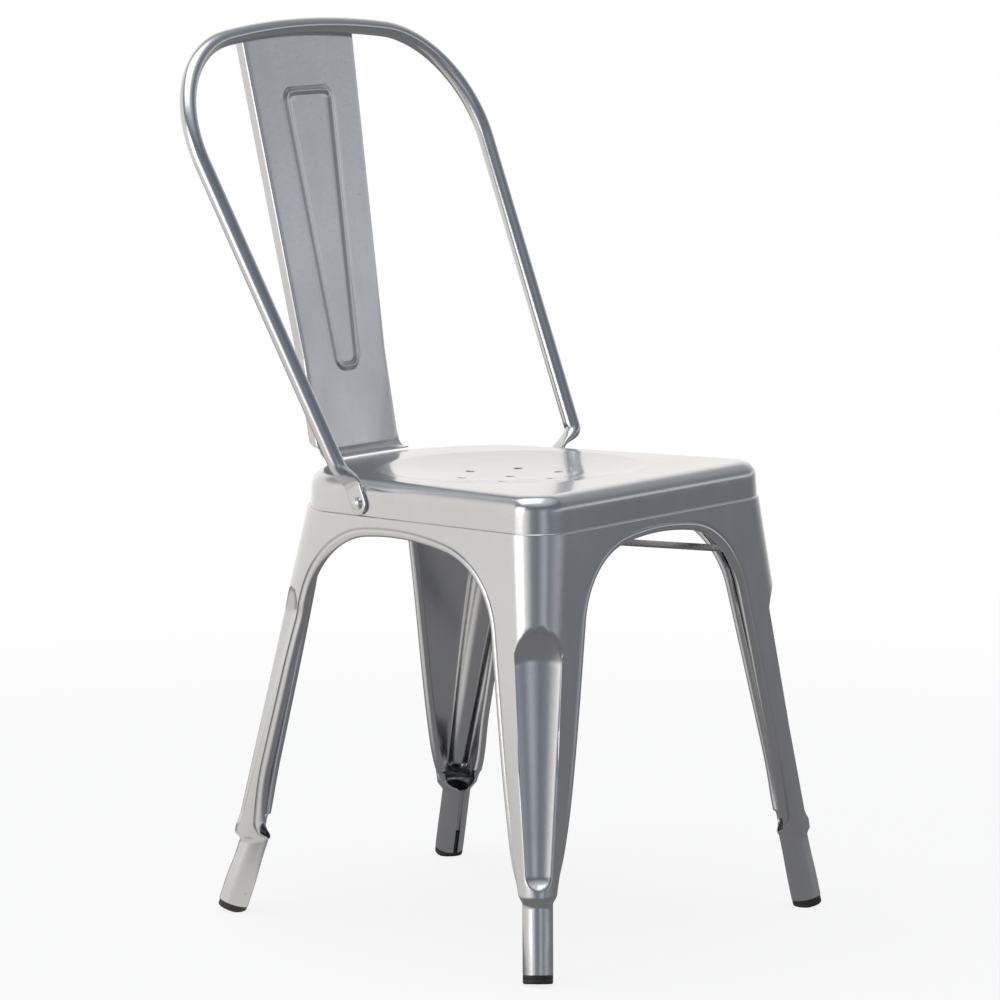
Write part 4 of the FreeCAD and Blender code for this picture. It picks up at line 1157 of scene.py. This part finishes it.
BLACK, WHITE = (0.0, 0.0, 0.0), (1.0, 1.0, 1.0)
OBJECT_PLACE, HEADING = 3, 0


def silver_paint(name, colour=(0.66, 0.665, 0.68), grime=0.35, foot_wear=0.0):
    """Aluminium paint under clear lacquer: flakes, faint streaks, wear low on the legs."""
    material, tree = blank_material(name)
    place = make(tree, "ShaderNodeTexCoord", output=OBJECT_PLACE)
    flake = noise(tree, place, 1500.0, 1.0)
    cloud = noise(tree, place, 9.0, 4.0)
    streak_place = make(tree, "ShaderNodeMapping", {}, {"Vector": place, "Scale": (1.0, 1.0, 0.12)})
    streak = noise(tree, streak_place, 60.0, 3.0)
    spots = noise(tree, place, 240.0, 2.0)
    _, _, height = split(tree, place)
    speck = ramp(tree, spots, (0.70, BLACK), (0.78, WHITE))
    dirt = ramp(tree, cloud, (0.45, BLACK), (0.75, WHITE))
    low = ranged(tree, height, 0.14, 0.0, way="LINEAR")
    bright = tuple(min(1.0, c * 1.04) for c in colour)
    dull = tuple(c * 0.86 for c in colour)
    base = mix_colour(tree, flake, dull, bright)
    base = mix_colour(tree, dirt * (0.25 * grime), base, (0.36, 0.33, 0.30))
    base = mix_colour(tree, speck * (0.25 + low * foot_wear), base, (0.30, 0.28, 0.26))
    rough = 0.16 + streak * 0.08 + dirt * 0.06 + low * (0.10 * foot_wear)
    peel = bumps(tree, noise(tree, place, 170.0, 2.0), 0.06, 0.001)
    finish_material(tree, {
        "Metallic": 1.0, "Coat Weight": 0.7, "Coat Roughness": 0.07, "Coat IOR": 1.5,
        "Base Color": base, "Roughness": rough, "Normal": peel,
    })
    return material


def bright_steel(name, colour=(0.78, 0.78, 0.77), rough=0.16):
    """Bare steel, finely brushed, with a faint stain."""
    material, tree = blank_material(name)
    place = make(tree, "ShaderNodeTexCoord", output=OBJECT_PLACE)
    brushed = noise(tree, place, 900.0, 3.0)
    stain = noise(tree, place, 130.0, 3.0)
    base = mix_colour(tree, stain, tuple(c * 0.82 for c in colour), colour)
    finish_material(tree, {
        "Metallic": 1.0, "Base Color": base, "Roughness": rough + brushed * 0.12,
        "Normal": bumps(tree, brushed, 0.08, 0.0004),
    })
    return material


def black_rubber(name):
    """Moulded rubber with a fine grain, dusty near the floor."""
    material, tree = blank_material(name)
    place = make(tree, "ShaderNodeTexCoord", output=OBJECT_PLACE)
    grain = noise(tree, place, 700.0, 4.0)
    dust = noise(tree, place, 90.0, 4.0)
    _, _, height = split(tree, place)
    low = ranged(tree, height, 0.006, 0.0, way="LINEAR")
    dusty = dust * 0.5 + low * 0.2
    base = mix_colour(tree, dusty, (0.016, 0.016, 0.017), (0.06, 0.058, 0.055))
    finish_material(tree, {
        "Specular IOR Level": 0.5, "Base Color": base, "Roughness": 0.42 + dust * 0.2,
        "Normal": bumps(tree, grain, 0.25, 0.0004),
    })
    return material


# Light

# the room is turned to the camera: cosine and sine of its turn
ROOM_COS, ROOM_SIN = 0.77, 0.62
LIT_WALL, DARK_WALL = (0.95, 0.93, 0.89), (0.17, 0.18, 0.20)
WARM_WHITE = (1.0, 0.98, 0.95)
FLOOR_RADIUS, FLOOR_DROP = 2.6, 0.0002


def studio_world():
    """White sweep for the camera; for the metal a soft studio with a darker front."""
    world = bpy.data.worlds.new("studio")
    bpy.context.scene.world = world
    world.use_nodes = True
    tree = world.node_tree
    tree.nodes.clear()
    heading = make(tree, "ShaderNodeTexCoord", output=HEADING)
    x, y, z = split(tree, heading)
    # bands about the room: 0 is its back left wall, 1 is its front right wall
    band = (x * ROOM_COS - y * ROOM_SIN) * 0.5 + 0.5
    front = ranged(tree, 0.0 - x * ROOM_SIN - y * ROOM_COS, -0.35, 0.25)
    front_walls = ramp(
        tree, band, (0.0, LIT_WALL), (0.14, WARM_WHITE), (0.25, (0.30, 0.33, 0.38)),
        (0.42, (0.20, 0.22, 0.26)), (0.60, (0.62, 0.66, 0.72)), (0.72, (0.24, 0.26, 0.30)),
        (1.0, DARK_WALL))
    back_walls = ramp(
        tree, band, (0.0, LIT_WALL), (0.70, WARM_WHITE), (0.88, (0.50, 0.50, 0.51)),
        (1.0, DARK_WALL))
    walls = mix_colour(tree, front, back_walls, front_walls)
    # a lighter strip stands on the front right wall, and the ceiling is dim with a lit middle
    tilt = z * 0.5 + 0.5
    strip = ramp(tree, tilt, (0.0, BLACK), (0.50, BLACK), (0.55, WHITE), (0.64, BLACK))
    right_side = ranged(tree, band, 0.72, 0.95, way="LINEAR")
    walls = mix_colour(tree, strip * right_side, walls, (0.86, 0.88, 0.93))
    ceiling = ramp(
        tree, (z - 0.3) * 1.43, (0.0, (0.24, 0.27, 0.32)), (0.45, (0.15, 0.17, 0.21)),
        (1.0, (0.85, 0.88, 0.93)))
    upward = ranged(tree, z + front * 0.25, 0.45, 0.75)
    room = mix_colour(tree, upward, walls, ceiling)
    camera, through = make(tree, "ShaderNodeLightPath",
                           output=("Is Camera Ray", "Is Transmission Ray"))
    shown = mix_colour(tree, camera + through, room, WHITE)
    background = make(tree, "ShaderNodeBackground", {}, {0: shown})
    make(tree, "ShaderNodeOutputWorld", {}, {0: background}, None)


def studio_floor():
    """Pale floor that keeps the chair's shadow and fades to white; to glossy rays it glows with
    painted light and painted shade.
    """
    mesh = bpy.data.meshes.new("floor")
    work = bmesh.new()
    bmesh.ops.create_circle(work, cap_ends=True, segments=96, radius=FLOOR_RADIUS)
    work.to_mesh(mesh)
    work.free()
    floor = bpy.data.objects.new("floor", mesh)
    floor.location.z = -FLOOR_DROP
    bpy.context.scene.collection.objects.link(floor)
    material, tree = blank_material("floor_white")
    camera, glossy = make(tree, "ShaderNodeLightPath", output=("Is Camera Ray", "Is Glossy Ray"))
    place = make(tree, "ShaderNodeTexCoord", output=OBJECT_PLACE)
    x, y, _ = split(tree, place)
    distance = (x * x + y * y) ** 0.5
    # paper near the chair, which takes its shadow, and pure white farther out
    far = ranged(tree, distance, 0.6, 2.0, 0.84, 1.0)
    # to glossy rays the floor glows, with painted light towards the back left and painted shade
    # everywhere else, which the metal mirrors
    right = ranged(tree, (x * ROOM_COS - y * ROOM_SIN) / (distance + 0.05), -0.85, -0.45)
    floor_glow_light_and_shade = mix_colour(tree, right, (0.80, 0.78, 0.74), (0.22, 0.22, 0.225))
    colour = mix_colour(tree, glossy, WHITE, floor_glow_light_and_shade)
    paper = make(tree, "ShaderNodeBsdfDiffuse", {}, {0: opaque((0.92, 0.92, 0.92))})
    glow = make(tree, "ShaderNodeEmission", {}, {0: colour, 1: 1.0})
    mixed = make(tree, "ShaderNodeMixShader", {}, {0: camera * far + glossy, 1: paper, 2: glow})
    make(tree, "ShaderNodeOutputMaterial", {}, {0: mixed}, None)
    mesh.materials.append(material)


def area_lamp(name, place, target, size, power, colour):
    data = bpy.data.lights.new(name, "AREA")
    data.shape = "RECTANGLE"
    data.size, data.size_y = size
    data.energy = power
    data.color = colour
    lamp = bpy.data.objects.new(name, data)
    lamp.location = place
    lamp.rotation_euler = (Vector(target) - Vector(place)).to_track_quat("-Z", "Y").to_euler()
    lamp.visible_camera = False
    bpy.context.scene.collection.objects.link(lamp)


def studio_lamps():
    overhead, left = (-0.3, 0.4, 2.6), (-2.4, 0.6, 1.1)
    area_lamp("overhead_softbox", overhead, (0.0, 0.0, 0.4), (2.0, 2.0), 14.0, WHITE)
    area_lamp("left_softbox", left, (0.0, 0.0, 0.5), (1.2, 1.6), 10.0, WARM_WHITE)


CAMERA_TURN, CAMERA_RISE, CAMERA_ROLL = -51.206, 8.403, 0.298
CAMERA_DISTANCE = 4904.0
AIM_HEIGHT, AIM_LEFT = 404.2, 6.4
SENSOR_WIDTH = 36.0
# focal length in pixels of the picture, and the picture's width
FOCAL_PIXELS, PICTURE_WIDTH = 5101.8, 1000.0


def photo_camera():
    """Camera at the photograph's viewing angle: from the front left, a little above."""
    turn, rise, roll = (math.radians(a) for a in (CAMERA_TURN, CAMERA_RISE, CAMERA_ROLL))
    right = Vector((math.cos(turn), math.sin(turn), 0.0))
    level = math.cos(rise)
    back = Vector((math.sin(turn) * level, -math.cos(turn) * level, math.sin(rise)))
    up = back.cross(right)
    target = Vector((0.0, -ORIGIN_BACK, AIM_HEIGHT)) - right * AIM_LEFT
    across = right * math.cos(roll) + up * math.sin(roll)
    upright = up * math.cos(roll) - right * math.sin(roll)
    data = bpy.data.cameras.new("photo_camera")
    data.sensor_width = SENSOR_WIDTH
    data.lens = FOCAL_PIXELS * SENSOR_WIDTH / PICTURE_WIDTH
    camera = bpy.data.objects.new("photo_camera", data)
    turned_to = Matrix((across, upright, back)).transposed().to_4x4()
    place = (target + back * CAMERA_DISTANCE) * MM
    camera.matrix_world = Matrix.Translation(place) @ turned_to
    bpy.context.scene.collection.objects.link(camera)
    bpy.context.scene.camera = camera


# Build

LEGS = {True: Leg(True), False: Leg(False)}
photo_camera()
studio_world()
studio_floor()
studio_lamps()

leg_paint = silver_paint("leg_paint", foot_wear=0.5)
seat_paint = silver_paint("seat_paint")
hoop_paint = silver_paint("hoop_paint")
splat_paint = silver_paint("splat_paint")
# the straps under the seat get a darker grey than the rest of the same paint: painted shade of the
# seat above them
shaded_strap_paint = silver_paint("shaded_strap_paint", colour=(0.42, 0.42, 0.43), grime=0.8)
rivet_metal = bright_steel("rivet_metal")
liner_metal = bright_steel("liner_metal", (0.62, 0.61, 0.60), 0.3)
glide_plastic = black_rubber("glide_plastic")

for is_front, end in ((True, "front"), (False, "rear")):
    leg = LEGS[is_front]
    shape = leg_mesh(leg)
    shoe = glide_mesh(leg)
    for side, (points, faces), (shoe_points, shoe_faces) in (
            ("left", shape, shoe), ("right", mirrored(*shape), mirrored(*shoe))):
        piece("pressed_leg_%s_%s" % (end, side), points, faces, leg_paint, "leg_finish",
              ["%s_%s_leg" % (end, side)], SHEET)
        piece("glide_%s_%s" % (end, side), shoe_points, shoe_faces, glide_plastic, "glide_rubber",
              ["foot_glide_%s_%s" % (end, side)])

piece("pressed_seat", *seat_mesh(), seat_paint, "seat_finish", ["seat_pan"], SHEET)
piece("bent_hoop", *hoop_mesh(), hoop_paint, "hoop_finish", ["back_hoop"])
piece("pressed_splat", *splat_mesh(), splat_paint, "splat_finish", ["back_splat"], SHEET)
rivet = rivet_mesh()
piece("domed_rivet_left", *rivet, rivet_metal, "rivet_steel", ["hoop_rivet_left"])
piece("domed_rivet_right", *mirrored(*rivet), rivet_metal, "rivet_steel", ["hoop_rivet_right"])

# the liners and straps keep their own shape
for name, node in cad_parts.items():
    if name.startswith("leg_liner"):
        finish = liner_metal
    elif name.startswith("under_seat_strap"):
        # the straps take the darker copy of the silver paint, which is painted shade
        finish = shaded_strap_paint
    else:
        continue
    node.data.materials.clear()
    node.data.materials.append(finish)

bpy.context.scene.view_settings.view_transform = "Standard"
